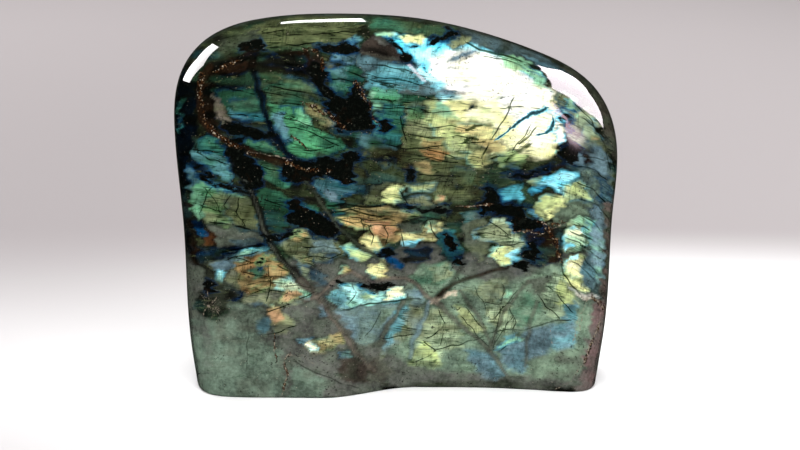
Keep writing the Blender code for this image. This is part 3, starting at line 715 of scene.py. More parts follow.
# Dark hairlines: half their width, route.
HAIRLINES = [
    (0.7, "402,108 420,112 446,112 470,110"),
    (0.7, "404,124 430,128 452,126 472,130"),
    (0.7, "408,134 432,138 456,136 470,138"),
    (0.8, "384,155 404,160 430,158 460,164 480,166"),
    (0.7, "500,108 520,107 540,108"),
    (0.8, "350,72 370,80 400,86 420,92"),
    (0.8, "200,212 206,196 214,184"),
    (0.7, "240,198 236,212 244,226"),
    (0.8, "286,62 300,66 316,76 322,84"),
    (0.8, "226,88 240,90 256,94"),
    (0.8, "298,150 316,150 334,146"),
    (0.7, "286,126 304,130 322,138 338,146"),
    (0.7, "284,118 300,122 318,128"),
    (0.8, "236,259 252,262 270,262 286,270"),
    (0.7, "244,272 262,276 284,278"),
    (0.8, "352,284 356,292 350,302"),
    (0.7, "380,312 374,326 366,336"),
    (0.7, "440,312 446,326 440,344"),
    (0.7, "466,308 476,320 486,332"),
    (0.7, "494,318 506,304 516,292"),
    (0.7, "548,286 562,300 572,312"),
    (0.9, "266,85 288,90 317,94 324,96"),
    (0.9, "272,103 288,104 302,106"),
    (0.7, "258,92 270,93 282,95"),
    (0.7, "272,112 284,114 296,118"),
    (0.8, "290,35 318,35 350,31 360,32"),
    (1.0, "271,47 300,45 322,43"),
    (0.7, "220,40 240,35 262,34 284,30"),
    (0.8, "229,114 246,116 258,116"),
    (0.9, "368,98 384,100 400,101 420,104"),
    (0.8, "370,106 388,108 404,108"),
    (0.7, "362,64 384,66 404,70 424,76"),
    (0.7, "364,74 386,78 410,82 432,88"),
    (0.8, "326,79 344,80 356,82"),
    (1.0, "380,84 398,90 420,96 436,99 462,99"),
    (0.8, "380,99 400,104 424,110 432,112"),
    (0.9, "372,143 396,147 412,149 444,145 466,143 484,142"),
    (0.8, "428,150 441,153 456,158 476,160"),
    (0.9, "401,118 403,128 405,140"),
    (1.0, "514,98 508,112 502,122 492,137 486,148 481,158"),
    (0.7, "532,124 524,136 513,150"),
    (1.4, "468,44 480,50 500,55 520,60 540,70"),
    (0.9, "470,56 490,57 512,62 530,68"),
    (0.8, "192,149 206,151 224,152"),
    (0.9, "197,152 212,160 230,165"),
    (0.8, "205,222 221,223 236,226 249,229"),
    (0.7, "195,204 212,209 230,215"),
    (0.6, "206,190 216,200 220,214 214,224"),
    (0.6, "230,196 224,206 234,216 246,220"),
    (0.8, "262,199 276,203 290,209"),
    (0.8, "256,166 270,169 284,172"),
    (1.3, "222,252 238,249 252,246 266,246"),
    (1.5, "324,206 345,204 370,207 392,205 402,208"),
    (1.2, "332,212 350,210 376,216 400,217 428,217"),
    (0.8, "352,217 370,220 392,220 404,222"),
    (0.8, "368,225 374,236 372,244"),
    (0.8, "382,226 388,236 386,244"),
    (0.8, "419,175 440,176 460,177"),
    (0.8, "400,192 406,200 410,208"),
    (0.9, "398,222 400,232 403,246"),
    (0.8, "430,222 432,230 438,238"),
    (0.8, "490,222 500,228 506,234"),
    (0.7, "476,234 492,234 510,238"),
    (0.7, "500,246 512,244 526,242"),
    (0.9, "579,166 594,169 606,179"),
    (1.0, "577,183 592,189 605,202"),
    (0.9, "582,200 600,206 610,222"),
    (0.9, "587,218 600,230"),
    (0.9, "582,234 594,241 604,252"),
    (0.9, "581,245 598,258"),
    (0.9, "584,259 596,274"),
    (0.9, "586,272 597,286"),
    (0.8, "575,104 592,120 604,144 610,170"),
    (1.0, "560,258 563,274 574,289 580,294"),
    (0.9, "572,232 584,237 592,240"),
    (1.0, "296,362 317,373 339,382 356,387"),
    (0.7, "249,320 247,345 247,368"),
    (1.1, "343,311 361,306 383,302 402,300 420,299"),
    (0.8, "264,312 282,307 300,299 314,293"),
    (0.8, "266,335 282,331 296,325"),
    (0.8, "268,268 270,284 266,300"),
    (0.8, "286,286 300,286 310,288"),
    (0.8, "383,339 398,336 412,334"),
    (0.9, "424,340 436,351 452,346 476,340 486,334 508,330 530,329 550,322 570,320"),
    (0.8, "424,339 440,330 450,322"),
    (0.8, "476,292 484,302 498,304 510,303"),
    (0.8, "500,304 506,290 504,286"),
    (0.8, "510,310 516,322 514,330"),
    (0.8, "540,296 546,306 560,318"),
    (0.8, "500,350 508,345 518,341"),
    (0.7, "416,362 428,356 436,352"),
    (0.8, "226,260 244,255 264,250"),
    (0.6, "238,266 256,262 270,260"),
    (0.6, "246,285 262,282 282,284"),
    (0.6, "250,293 266,290 282,291"),
    (0.8, "282,251 298,247 308,248 324,246 338,248"),
    (0.7, "283,241 298,236 308,238"),
    (0.6, "300,258 312,256 330,258 342,254"),
    (0.7, "360,218 364,230 361,240"),
    (0.7, "340,220 362,224 384,226 402,226"),
    (0.6, "475,288 482,300 486,308"),
    (0.6, "462,318 476,334 488,346"),
    (0.6, "504,300 498,320 492,346"),
    (0.6, "512,316 501,334 493,348"),
    (0.9, "580,156 594,158 603,160"),
    (0.9, "604,146 611,156 614,168"),
    (0.8, "584,119 598,128 612,142"),
    (0.9, "586,138 596,145 611,150"),
    (0.7, "572,262 582,268 592,280"),
    (0.7, "568,238 580,242 590,250"),
    (0.7, "574,224 584,227 594,234"),
    (2.6, "467,130 471,128 475,125"),
    (1.6, "475,125 482,125"),
    (2.0, "465,141 470,138 477,139"),
    (2.4, "483,142 489,140.5"),
    (1.8, "492,159 497,157"),
    (3.0, "529,145.5 524,148.5 517,152.5"),
    (2.2, "518,152 508,159"),
    (1.0, "538,126 533,131 528,137 520,144"),
]

# Slits in the flash, dark with bright blue edges: half their width, route.
SLITS = [
    (1.5, "546,108 537,112 529,116.5"),
    (1.2, "529,116.5 520,121 513,127"),
    (0.7, "513,127 505,133.5 497,139"),
    (0.8, "553,119 553.5,123"),
    (1.7, "553,123 551,129 546,132.5"),
    (0.6, "546,132.5 539,134.5"),
]

# Pale cracks: half their width, route.
CRACKS = [
    (0.8, "250,152 262,154 276,156 290,160"),
    (0.6, "209,307 203,303 199,304"),
    (0.6, "209,307 206,300 202,296"),
    (0.6, "209,307 214,302 216,297"),
    (0.6, "209,307 215,307 220,310"),
    (0.6, "209,307 213,313 212,318"),
    (0.6, "209,307 204,311 203,317"),
    (0.5, "205,300 211,300"),
    (0.5, "214,309 219,304"),
    (0.5, "209,307 210,299 208,293"),
    (0.5, "209,307 217,312 221,317"),
    (0.8, "288,354 284,363 287,371 286,383 281,396"),
    (0.7, "288,354 296,357 303,355 312,362"),
    (0.6, "275,342 274,350 276,358"),
    (1.0, "587,293 594,297 600,304 605,308"),
    (0.9, "600,322 594,337 587,351 584,362 578,372 571,381 557,388"),
    (0.7, "545,224 552,229 564,224"),
    (0.6, "512,232 526,231 538,234"),
    (0.6, "460,206 476,206 490,205"),
    (0.7, "580,312 576,324 573,340"),
    (0.7, "588,300 583,312 580,330"),
    (0.6, "550,330 552,340 556,350"),
]

# Strings of crumbs along old cracks: half their width, route.
CRUMBS = [
    (3.0, "203,74 200,88 201,102 203,116 208,126 216,134 228,142 242,149 254,154"),
    (2.2, "216,71 224,67 232,63 240,60"),
    (2.2, "306,50 316,51 322,58 323,68"),
    (2.0, "286,162 298,168 314,171 330,171"),
    (2.8, "304,103 314,107 324,112 334,120 343,127"),
    (1.6, "291,136 298,141 305,147"),
    (2.6, "356,82 361,90 364,98"),
    (1.6, "369,100 371,110 374,118 379,124"),
    (2.4, "541,222 551,224 561,223"),
    (2.8, "548,228 554,238 558,250 562,262"),
    (1.8, "512,231 526,231 540,233"),
    (1.4, "460,206 476,206 490,205"),
    (2.2, "587,293 595,298 600,304 605,308"),
    (1.6, "600,322 594,337 588,351 584,362"),
    (1.6, "289,355 285,364 287,373 286,384 282,396"),
    (1.3, "274,336 275,348 277,360"),
]

# How far down the picture the grain has run, by how far across the picture it has come.
GRAIN_RUN = "150,-4 230,0 300,8 380,24 430,30 520,31 570,40 640,74"
GRAIN_TOP, GRAIN_FULL = 20, 80  # above the first it is level, and below the second it runs fully
GRAIN_LEAN = 0.15

# Smooth noises: the strength of each, the width and height of its features, and its seed. The
# width and height are in picture pixels, or along and across the grain.
CLOUDS = {
    "grain drift": (2.0, 60, 30, 3),
    "sheet tears": (4.5, 34, 3.4, 11), "sheet nibbles": (2.0, 4, 3, 12),
    "sheet sag": (1.8, 9, 4, 13), "sheet crumbling": (0.9, 3.4, 2.6, 14),
    "streaks": (1.0, 34, 5.0, 15), "fine streaks": (0.6, 14, 2.6, 16),
    "blotches": (1.0, 11, 8, 17), "fringes": (1.6, 16, 12, 22),
    "glimmer": (1.6, 24, 9, 29), "blueness": (1.6, 30, 18, 30),
    "shade": (1.8, 46, 4.0, 23), "cleavage": (2.0, 3.4, 26, 24),
    "broad light": (0.26, 13, 8, 18), "fine light": (0.20, 4.5, 3, 19),
    "vein sway": (1.6, 9, 9, 21), "vein width": (0.4, 12, 12, 25), "vein light": (0.30, 5, 4, 26),
    "line sway": (1.3, 8, 8, 27), "line sag": (1.1, 9, 7, 28),
    "inclusion tears": (5.0, 20, 3.4, 31), "inclusion nibbles": (2.0, 5, 3, 32),
    "inclusion sag": (2.6, 8, 7, 33),
}
LATTICE = 64  # the noises repeat after this many features

REACH = 12.0  # a marking is worked out this far beyond its outline
LINE_REACH, LINE_FADE = 3.4, 0.6
FARTHEST = 9.0  # the most half widths from a line that are told apart

GROUND_SOFTNESS = 5  # outlines as soft as this, or softer, have no gap and no rim
# How much of the streaks' tone shows: on average, with the streaks and with the blotches.
GROUND_STREAKING, SHEET_STREAKING = (0.45, 0.2, 0.5), (0.45, 0.35, 0.35)
MOST_STREAKED = 0.8
GLIMMERING, GLIMMER_STRENGTH = ("soot", "moss", "umber"), 0.5
GAP_AT, GAP_WIDTH, GAP_STRENGTH = -1.4, 2.8, 0.35  # the dark gap just outside a sheet
RIM_AT, RIM_WIDTH, RIM_STRENGTH = 0.4, 3.2, 0.85  # the coloured rim just inside it
SHADE, CLEAVAGE_SHADE, FLASH_LIGHT = 0.45, 0.3, 1.08
# How much the dull tones flash. All the others flash fully.
GROUND_FLASH = {
    "soot": 0.6, "moss": 0.7, "umber": 0.2, "matrix": 0.05, "milk": 0.12, "fog": 0.05,
    "dusk": 0.2, "sage": 0.35, "haze": 0.35, "slate": 0.3, "mauve": 0.0, "taupe": 0.1,
    "bone": 0.0, "black": 0.0, "rust": 0.1, "ash": 0.1, "drab": 0.1,
}

VEIN_RIM, VEIN_RIM_FADE, VEIN_RIM_DARKNESS = 2.2, 2.4, 0.7
VEIN_EDGE = 2.6

# The back takes its markings from the front's, mirrored, upside down and bent, and duller.
BACK_SWAY, BACK_RIPPLE = 14.0, 10.0
BACK_FOOT, BACK_TOP, BACK_SQUASH = 400, 10, 0.97
BACK_STRENGTH, BACK_MATRIX = 0.68, 0.25


def pixels(text):
    """The points of an outline or a route."""
    return [tuple(float(value) for value in pair.split(",")) for pair in text.split()]


def srgb(tone):
    """A tone as linear light."""
    share = np.array(TONES[tone]) / 255.0
    return np.where(share <= 0.04045, share / 12.92, ((share + 0.055) / 1.055) ** 2.4)


def smooth(share):
    """0 up to 0 and 1 from 1 on, with a smooth change between them."""
    share = np.clip(share, 0.0, 1.0)
    return share * share * (3 - 2 * share)


def rise(value, low, high):
    """0 up to the low value and 1 from the high one on, with a smooth change between them."""
    return smooth((value - low) / (high - low))


def blended(under, over, share):
    return under * (1 - share) + over * share


def cloud(name, x, y):
    """The smooth noise of this name in CLOUDS, which runs from -strength to strength."""
    strength, width, height, seed = CLOUDS[name]
    x, y = x / width, y / height
    lattice = np.random.default_rng(seed).uniform(-1.0, 1.0, (LATTICE, LATTICE))
    i, j = np.floor(x).astype(int), np.floor(y).astype(int)
    s, t = smooth(x - i), smooth(y - j)
    i, j, after_i, after_j = i % LATTICE, j % LATTICE, (i + 1) % LATTICE, (j + 1) % LATTICE
    low = blended(lattice[i, j], lattice[after_i, j], s)
    high = blended(lattice[i, after_j], lattice[after_i, after_j], s)
    return strength * blended(low, high, t)


def to_segments(px, py, route):
    """The distance to a route, and on which side of it each point lies: 1 above, -1 below."""
    best = np.full(px.shape, np.inf)
    side = np.ones(px.shape)
    for (ax, ay), (bx, by) in zip(route[:-1], route[1:]):
        run_x, run_y = bx - ax, by - ay
        share = ((px - ax) * run_x + (py - ay) * run_y) / (run_x**2 + run_y**2)
        share = np.clip(share, 0.0, 1.0)
        distance = np.hypot(px - ax - share * run_x, py - ay - share * run_y)
        nearer = distance < best
        best = np.where(nearer, distance, best)
        turn = np.sign((px - ax) * run_y - (py - ay) * run_x)
        side = np.where(nearer, turn, side)
    return best, side


def inside_by(px, py, outline):
    """How far inside an outline each point lies, in pixels, negative outside."""
    distance, _ = to_segments(px, py, outline + outline[:1])
    inside = np.zeros(px.shape, bool)
    for (ax, ay), (bx, by) in zip(outline, outline[1:] + outline[:1]):
        if ay != by:
            crossed = (ay > py) != (by > py)
            inside ^= crossed & (px < ax + (py - ay) * (bx - ax) / (by - ay))
    return np.where(inside, distance, -distance)


def near(px, py, outline):
    """Which points lie within reach of an outline or a route."""
    xs, ys = zip(*outline)
    beside = (px > min(xs) - REACH) & (px < max(xs) + REACH)
    return np.nonzero(beside & (py > min(ys) - REACH) & (py < max(ys) + REACH))[0]


def grain(px, py):
    """Coordinates along and across the grain, in pixels."""
    run_x, run_y = zip(*pixels(GRAIN_RUN))
    run = np.interp(px, run_x, run_y) * rise(py, GRAIN_TOP, GRAIN_FULL)
    across = py - run + cloud("grain drift", px, py)
    return px + GRAIN_LEAN * py, across


def brightness_of(tone):
    return tone @ (0.3, 0.6, 0.1)


def fringe_of(tone):
    """The colour that a sheet fades through at its edges.

    By a cold tone it is a blue, from navy by a dark one to cyan by a bright one. By a warm tone it
    is a green.
    """
    brightness = brightness_of(tone)
    lit = rise(brightness, 0.0, 0.2)[:, None]
    bright = rise(brightness, 0.206, 0.794)[:, None]
    warmth = (tone[:, 0] - 1.25 * tone[:, 2]) / (brightness + 0.01)
    warm = rise(warmth, 0.0, 0.714)[:, None]
    blue = blended(blended(srgb("navy"), srgb("cobalt") * 0.8, lit), srgb("cyan"), bright)
    green = blended(srgb("leaf") * lit, srgb("mint"), bright)
    return blended(blue, green, warm)


def dark_glimmer(px, py, along, across):
    """The faint green and teal that the darkest tones show in depth."""
    deep = smooth(cloud("glimmer", along, across) + 0.2)[:, None]
    bluish = smooth(cloud("blueness", px, py))[:, None]
    return blended(srgb("pine"), srgb("teal") * 0.6, bluish) * deep * GLIMMER_STRENGTH


def sheet_light(px, py, along, across, tone, flash):
    """How much lighter or darker each point of the sheets is than its tone."""
    shaded = 1.0 - SHADE * smooth(cloud("shade", along, across))
    cleaved = 1.0 - CLEAVAGE_SHADE * smooth(cloud("cleavage", px + 0.5 * py, py) - 0.3)
    lightness = cloud("broad light", px, py) + cloud("fine light", px, py)
    held = flash * (1 - rise(brightness_of(tone), 0.294, 0.882))
    light = 1 + (shaded * cleaved * FLASH_LIGHT - 1) * held
    return light * (1 + lightness * (0.35 + 0.65 * held))


def streaky(base, streaked, is_ground, streak, blotch):
    """A sheet's tone, mixed here and there with the tone of its streaks."""
    average, by_streak, by_blotch = GROUND_STREAKING if is_ground else SHEET_STREAKING
    share = smooth(average + by_streak * streak + by_blotch * blotch)
    return blended(srgb(base), srgb(streaked), share[:, None] * MOST_STREAKED)


def band(depth, at, width):
    """1 where the depth is just this, fading to 0 a width away."""
    return smooth(1 - np.abs(depth - at) / width)


def sheet_tones(px, py, along, across):
    """The sheets' tones, and how strongly the stone flashes: 0 in dull matrix, 1 in a sheet."""
    ragged_x = px + cloud("sheet tears", along, across) + cloud("sheet nibbles", px, py)
    ragged_y = py + cloud("sheet sag", px, py) + cloud("sheet crumbling", px, py)
    streak = cloud("streaks", along, across) + cloud("fine streaks", along, across)
    blotch = cloud("blotches", px, py)
    fringed = smooth(0.35 + cloud("fringes", px, py)) * RIM_STRENGTH
    glimmer = dark_glimmer(px, py, along, across)
    tone, flash = np.tile(srgb("soot"), (px.size, 1)), np.zeros(px.size)
    for base, streaked, softness, text in SHEETS:
        outline = pixels(text)
        here = near(px, py, outline)
        depth = inside_by(ragged_x[here], ragged_y[here], outline)
        is_ground = softness >= GROUND_SOFTNESS
        sheet = streaky(base, streaked, is_ground, streak[here], blotch[here])
        if base in GLIMMERING:
            sheet = sheet + glimmer[here]
        base_flash = GROUND_FLASH.get(base, 1.0)
        if not is_ground:
            gap = band(depth, GAP_AT, GAP_WIDTH) * GAP_STRENGTH * (1 + blotch[here])
            tone[here] *= 1 - gap[:, None]
            rim = band(depth, RIM_AT, RIM_WIDTH) * fringed[here] * base_flash
            sheet = blended(sheet, fringe_of(sheet), rim[:, None])
        cover = smooth(depth / softness + 0.5)
        tone[here] = blended(tone[here], sheet, cover[:, None])
        flash[here] += (base_flash - flash[here]) * cover
    return tone * sheet_light(px, py, along, across, tone, flash)[:, None], flash


def draw_veins(px, py, tone, flash):
    """Lay the veins over the tones and the flash."""
    swayed_x = px + cloud("vein sway", px, py)
    swollen = 1.0 + cloud("vein width", px, py)
    mottled = (1.0 + cloud("vein light", px, py))[:, None]
    for half, vein_tone, strength, text in VEINS:
        route = pixels(text)
        here = near(px, py, route)
        distance, _ = to_segments(swayed_x[here], py[here], route)
        distance = distance / swollen[here]
        rim = smooth((half + VEIN_RIM - distance) / VEIN_RIM_FADE)[:, None] * strength
        heart = smooth((half - distance) / VEIN_EDGE + 0.5)[:, None] * strength
        tone[here] *= 1 - VEIN_RIM_DARKNESS * rim
        tone[here] = blended(tone[here], srgb(vein_tone) * mottled[here], heart)
        flash[here] *= 1 - heart[:, 0]


def inclusion_depth(px, py, along, across):
    """How far inside an inclusion each point lies."""
    depth = np.full(px.shape, -REACH)
    ragged_x = px + cloud("inclusion tears", along, across) + cloud("inclusion nibbles", px, py)
    ragged_y = py + cloud("inclusion sag", px, py)
    for text in INCLUSIONS:
        outline = pixels(text)
        here = near(px, py, outline)
        depth[here] = np.maximum(depth[here], inside_by(ragged_x[here], ragged_y[here], outline))
    return depth


def line_fields(px, py, lines):
    """Signed distance to the nearest line as a share of its half width, and where that holds."""
    field = np.full(px.shape, FARTHEST)
    nearest = np.full(px.shape, np.inf)
    swayed_x, swayed_y = px + cloud("line sway", px, py), py + cloud("line sag", px, py)
    for half, text in lines:
        route = pixels(text)
        here = near(px, py, route)
        distance, side = to_segments(swayed_x[here], swayed_y[here], route)
        nearer = distance < nearest[here]
        nearest[here] = np.where(nearer, distance, nearest[here])
        field[here] = np.where(nearer, side * distance / half, field[here])
    holds = 1 - rise(nearest, LINE_REACH, LINE_REACH + LINE_FADE)
    return np.clip(field, -FARTHEST, FARTHEST), holds


def stored(mesh, name, kind, values):
    """Keep one value, colour or vector for each point of the mesh, for the material to read."""
    attribute = mesh.attributes.new(name, kind, "POINT")
    key = {"FLOAT": "value", "FLOAT_COLOR": "color", "FLOAT_VECTOR": "vector"}[kind]
    attribute.data.foreach_set(key, np.ascontiguousarray(values, np.float32).ravel())


def picture_place(points, facing):
    """Where on the picture each point takes its markings from."""
    px, py = to_picture(points)
    bent_x = FRAME_WIDTH - px + BACK_SWAY * np.sin(py / 31.0) + BACK_RIPPLE * np.sin(px / 43.0)
    bent_y = BACK_FOOT - (py - BACK_TOP) * BACK_SQUASH + BACK_SWAY * np.sin(px / 37.0)
    return np.where(facing < 0, bent_x, px), np.where(facing < 0, bent_y, py)


def draw_markings(mesh, points):
    normals = np.zeros(len(points) * 3, np.float32)
    mesh.vertices.foreach_get("normal", normals)
    facing = -normals.reshape(-1, 3) @ FORWARD
    px, py = picture_place(points, facing)
    along, across = grain(px, py)
    tone, flash = sheet_tones(px, py, along, across)
    draw_veins(px, py, tone, flash)
    duller = tone * BACK_STRENGTH + srgb("matrix") * BACK_MATRIX
    tone = np.clip(np.where((facing < 0)[:, None], duller, tone), 0.0, 1.0)
    full = np.ones((len(points), 1))
    stored(mesh, "tone", "FLOAT_COLOR", np.hstack([tone, full]))
    stored(mesh, "fringe", "FLOAT_COLOR", np.hstack([fringe_of(tone), full]))
    stored(mesh, "inclusion", "FLOAT", inclusion_depth(px, py, along, across))
    kinds = {"hairline": HAIRLINES, "crack": CRACKS, "slit": SLITS, "crumb": CRUMBS}
    for name, lines in kinds.items():
        field, holds = line_fields(px, py, lines)
        stored(mesh, name, "FLOAT", field)
        stored(mesh, name + "_on", "FLOAT", holds)
    stored(mesh, "grain", "FLOAT_VECTOR", np.stack([along, across, px * 0], axis=-1))
    stored(mesh, "facing", "FLOAT", facing)
    stored(mesh, "flash", "FLOAT", flash)


# ------------------------------------------------------------------------------ the materials

FULL_LIGHT = 0.88  # how brightly the key light shows a white surface that faces the front
POLISH_ROUGHNESS, SAWN_ROUGHNESS = 0.035, 0.6
LABRADORITE_IOR = 1.56

# The material's noises: the scale, detail and roughness of each, the two values between which it
# is spread out, and what it then runs from and to.
PATCHES = {
    "lamellae": ((0.035, 0.36, 1.0), 3.0, 0.6, 0.3, 0.7, 0.80, 1.18),
    "lamella streaks": ((0.16, 0.9, 1.0), 2.0, 0.6, 0.3, 0.7, -0.12, 0.12),
    "long line patches": (0.13, 2.0, 0.5, 0.42, 0.56, 0.0, 0.80),
    "cross line patches": (0.10, 2.0, 0.5, 0.42, 0.56, 0.0, 0.45),
    "clouds": (0.12, 5.0, 0.62, 0.32, 0.68, 0.58, 1.30),
    "sugar": (0.9, 3.0, 0.6, 0.3, 0.7, -0.2, 0.2),
    "stains": ((0.05, 0.14, 1.0), 5.0, 0.65, 0.56, 0.66, 0.0, 0.6),
    "olive flecks": ((0.07, 0.20, 1.0), 6.0, 0.7, 0.55, 0.68, 0.0, 0.55),
    "hairline breaks": (0.16, 2.0, 0.5, 0.33, 0.45, 0.1, 0.95),
    "inclusion rust": (0.3, 4.0, 0.65, 0.55, 0.75, 0.0, 0.7),
    "inclusion grit": (1.1, 2.0, 0.6, 0.62, 0.7, 0.0, 0.25),
    "crumb fraying": (0.9, 3.0, 0.6, 0.3, 0.7, -0.7, 0.7),
    "crumb gaps": (0.28, 2.0, 0.5, 0.36, 0.50, 0.0, 1.0),
    "crack breaks": (1.1, 2.0, 0.5, 0.50, 0.62, 0.1, 0.95),
    "side mottling": (0.10, 6.0, 0.66, 0.38, 0.60, 0.0, 1.0),
    "side bands": ((0.05, 0.05, 0.34), 5.0, 0.66, 0.48, 0.64, 0.0, 0.75),
    "side browns": (0.05, 5.0, 0.6, 0.54, 0.66, 0.0, 0.6),
    "side blues": ((0.16, 0.16, 0.45), 5.0, 0.68, 0.56, 0.68, 0.0, 0.7),
    "side flecks": ((0.28, 0.28, 0.60), 4.0, 0.66, 0.57, 0.65, 0.0, 0.8),
    "speck swarms": (0.11, 2.0, 0.5, 0.45, 0.62, 0.0, 1.0),
    "dark specks": (1.15, 2.0, 0.6, 0.60, 0.67, 0.0, 0.8),
    "pale specks": ((1.5, 1.5, 2.1), 1.0, 0.5, 0.735, 0.775, 0.0, 0.3),
    "sawn mottling": (0.08, 4.0, 0.6, 0.35, 0.65, 0.0, 1.0),
}
# The sets of fine lines in the flash: the scale of the noise whose level curves they are, and
# the patches that they show in.
FINE_LINES = {
    (0.010, 0.11, 1.0): "long line patches",
    (0.09, 0.014, 1.0): "cross line patches",
}
FINE_LINE_COUNT = 9.0  # how many of them a noise makes as it runs from 0 to 1
FINE_LINE_TINT = (0.10, 0.17, 0.12, 1.0)
STAIN_TINT = (0.30, 0.38, 0.30, 1.0)
HAIRLINE_TINT = (0.05, 0.08, 0.045, 1.0)
# The layers of the sides, over soot: patches, tone and brightness.
SIDE_LAYERS = [
    ("side mottling", "dusk", 1.0), ("side bands", "matrix", 0.9), ("side browns", "taupe", 1.0),
    ("side blues", "slate", 1.0), ("side flecks", "black", 1.0),
]
INCLUSION_GRAIN, INCLUSION_RAGGEDNESS = (0.09, 0.26, 1.0), 15.0
CRUMB_SCALE = 2.3
# The crumbs that aren't dark: the lots from which and by which they are, tone and brightness.
CRUMB_LOTS = [(0.35, 0.80, "rust", 0.42), (0.82, 0.90, "tan", 0.42), (0.93, 0.95, "bone", 0.55)]


class Nodes:
    """A material's node tree, and short ways to add to it."""

    def __init__(self, name):
        self.material = bpy.data.materials.new(name)
        self.material.use_nodes = True
        self.tree = self.material.node_tree
        self.shader = self.tree.nodes["Principled BSDF"]

    def add(self, kind, inputs=(), **settings):
        node = self.tree.nodes.new(kind)
        for name, value in settings.items():
            setattr(node, name, value)
        for socket, value in dict(inputs).items():
            self.feed(node.inputs[socket], value)
        return node

    def feed(self, socket, value):
        if isinstance(value, bpy.types.NodeSocket):
            self.tree.links.new(value, socket)
        else:
            socket.default_value = value

    def shaded(self, inputs):
        """The material, with these inputs to its shader."""
        for name, value in inputs.items():
            self.feed(self.shader.inputs[name], value)
        return self.material

    def attribute(self, name, output="Fac"):
        return self.add("ShaderNodeAttribute", attribute_name=name).outputs[output]

    def object_place(self):
        return self.add("ShaderNodeTexCoord").outputs["Object"]

    def math(self, operation, a, b=0.0, c=0.0):
        node = self.add("ShaderNodeMath", {0: a, 1: b, 2: c}, operation=operation)
        return node.outputs[0]

    def times(self, a, b):
        return self.math("MULTIPLY", a, b)

    def off(self, value, middle=None):
        """How far the value is from a middle one, or from nothing, on either side."""
        if middle is not None:
            value = self.math("SUBTRACT", value, middle)
        return self.math("ABSOLUTE", value)

    def ramp(self, value, low, high, start=0.0, end=1.0):
        """A smooth change from start to end as the value goes from low to high."""
        inputs = {"Value": value, "From Min": low, "From Max": high}
        inputs |= {"To Min": start, "To Max": end}
        node = self.add("ShaderNodeMapRange", inputs, interpolation_type="SMOOTHSTEP")
        return node.outputs["Result"]

    def stretched(self, vector, scale):
        node = self.add("ShaderNodeMapping", {"Vector": vector, "Scale": scale})
        return node.outputs["Vector"]

    def noise(self, vector, scale, detail=2.0, rough=0.5):
        """A smooth noise around 0.5. Its scale is one number, or one for each direction."""
        if isinstance(scale, tuple):
            vector, scale = self.stretched(vector, scale), 1.0
        inputs = {"Vector": vector, "Scale": scale, "Detail": detail, "Roughness": rough}
        return self.add("ShaderNodeTexNoise", inputs).outputs["Fac"]

    def patches(self, name, vector):
        """The noise of this name in PATCHES, spread out."""
        scale, detail, rough, *spread = PATCHES[name]
        return self.ramp(self.noise(vector, scale, detail, rough), *spread)

    def mix(self, share, a, b, blend="MIX"):
        node = self.add("ShaderNodeMix", data_type="RGBA", blend_type=blend)
        for socket, value in ((0, share), (6, a), (7, b)):
            self.feed(node.inputs[socket], value)
        return node.outputs[2]

    def lit(self, share, tone, light):
        """The tone made lighter or darker, to this share."""
        grey = self.add("ShaderNodeCombineColor", {0: light, 1: light, 2: light}).outputs[0]
        return self.mix(share, tone, grey, "MULTIPLY")


def colour(tone, brightness=1.0):
    return tuple(srgb(tone) * brightness) + (1.0,)


def in_millimetres(nodes):
    return nodes.stretched(nodes.object_place(), (1 / MM,) * 3)


def fine_lines(nodes, grain_at, scale):
    """Thin wandering lines: the level curves of a stretched noise."""
    level = nodes.times(nodes.noise(grain_at, scale), FINE_LINE_COUNT)
    offset = nodes.off(nodes.math("FRACT", level), 0.5)
    return nodes.ramp(offset, 0.04, 0.13, 1.0, 0.0)


def grained(nodes, place, grain_at):
    """The sheets' own tones, with lamellae and fine streaks that run along the grain."""
    broad = nodes.patches("lamellae", grain_at)
    light = nodes.math("ADD", broad, nodes.patches("lamella streaks", grain_at))
    flash = nodes.attribute("flash")
    share = nodes.ramp(flash, 0.0, 1.0, 0.25, 1.0)
    tone = nodes.lit(share, nodes.attribute("tone", "Color"), light)
    brightness = nodes.add("ShaderNodeRGBToBW", {0: tone}).outputs[0]
    dimness = nodes.ramp(brightness, 0.45, 1.0, 1.0, 0.35)
    for scale, patches in FINE_LINES.items():
        strength = nodes.times(nodes.patches(patches, place), nodes.times(flash, dimness))
        share = nodes.times(fine_lines(nodes, grain_at, scale), strength)
        tone = nodes.mix(share, tone, FINE_LINE_TINT, "MULTIPLY")
    return tone


def mottled(nodes, tone, place):
    """The dull stone's own unevenness: cloudy, with sugary grain."""
    light = nodes.math("ADD", nodes.patches("clouds", place), nodes.patches("sugar", place))
    dull = nodes.ramp(nodes.attribute("flash"), 0.3, 1.0, 1.0, 0.3)
    return nodes.lit(dull, tone, light)


def speckled(nodes, tone, place):
    """Small dark specks, in swarms, and rarer pale ones."""
    dark = nodes.times(nodes.patches("dark specks", place), nodes.patches("speck swarms", place))
    tone = nodes.mix(dark, tone, colour("soot"))
    return nodes.mix(nodes.patches("pale specks", place), tone, colour("bone"))


def glimmering(nodes, tone, grain_at):
    """Small stains in the sheets, and olive flecks where the dark stone half flashes."""
    tone = nodes.mix(nodes.patches("stains", grain_at), tone, STAIN_TINT, "MULTIPLY")
    flash = nodes.attribute("flash")
    dim = nodes.math("SUBTRACT", nodes.ramp(flash, 0.35, 0.55), nodes.ramp(flash, 0.75, 0.92))
    return nodes.mix(nodes.times(nodes.patches("olive flecks", grain_at), dim), tone, colour("olive"))


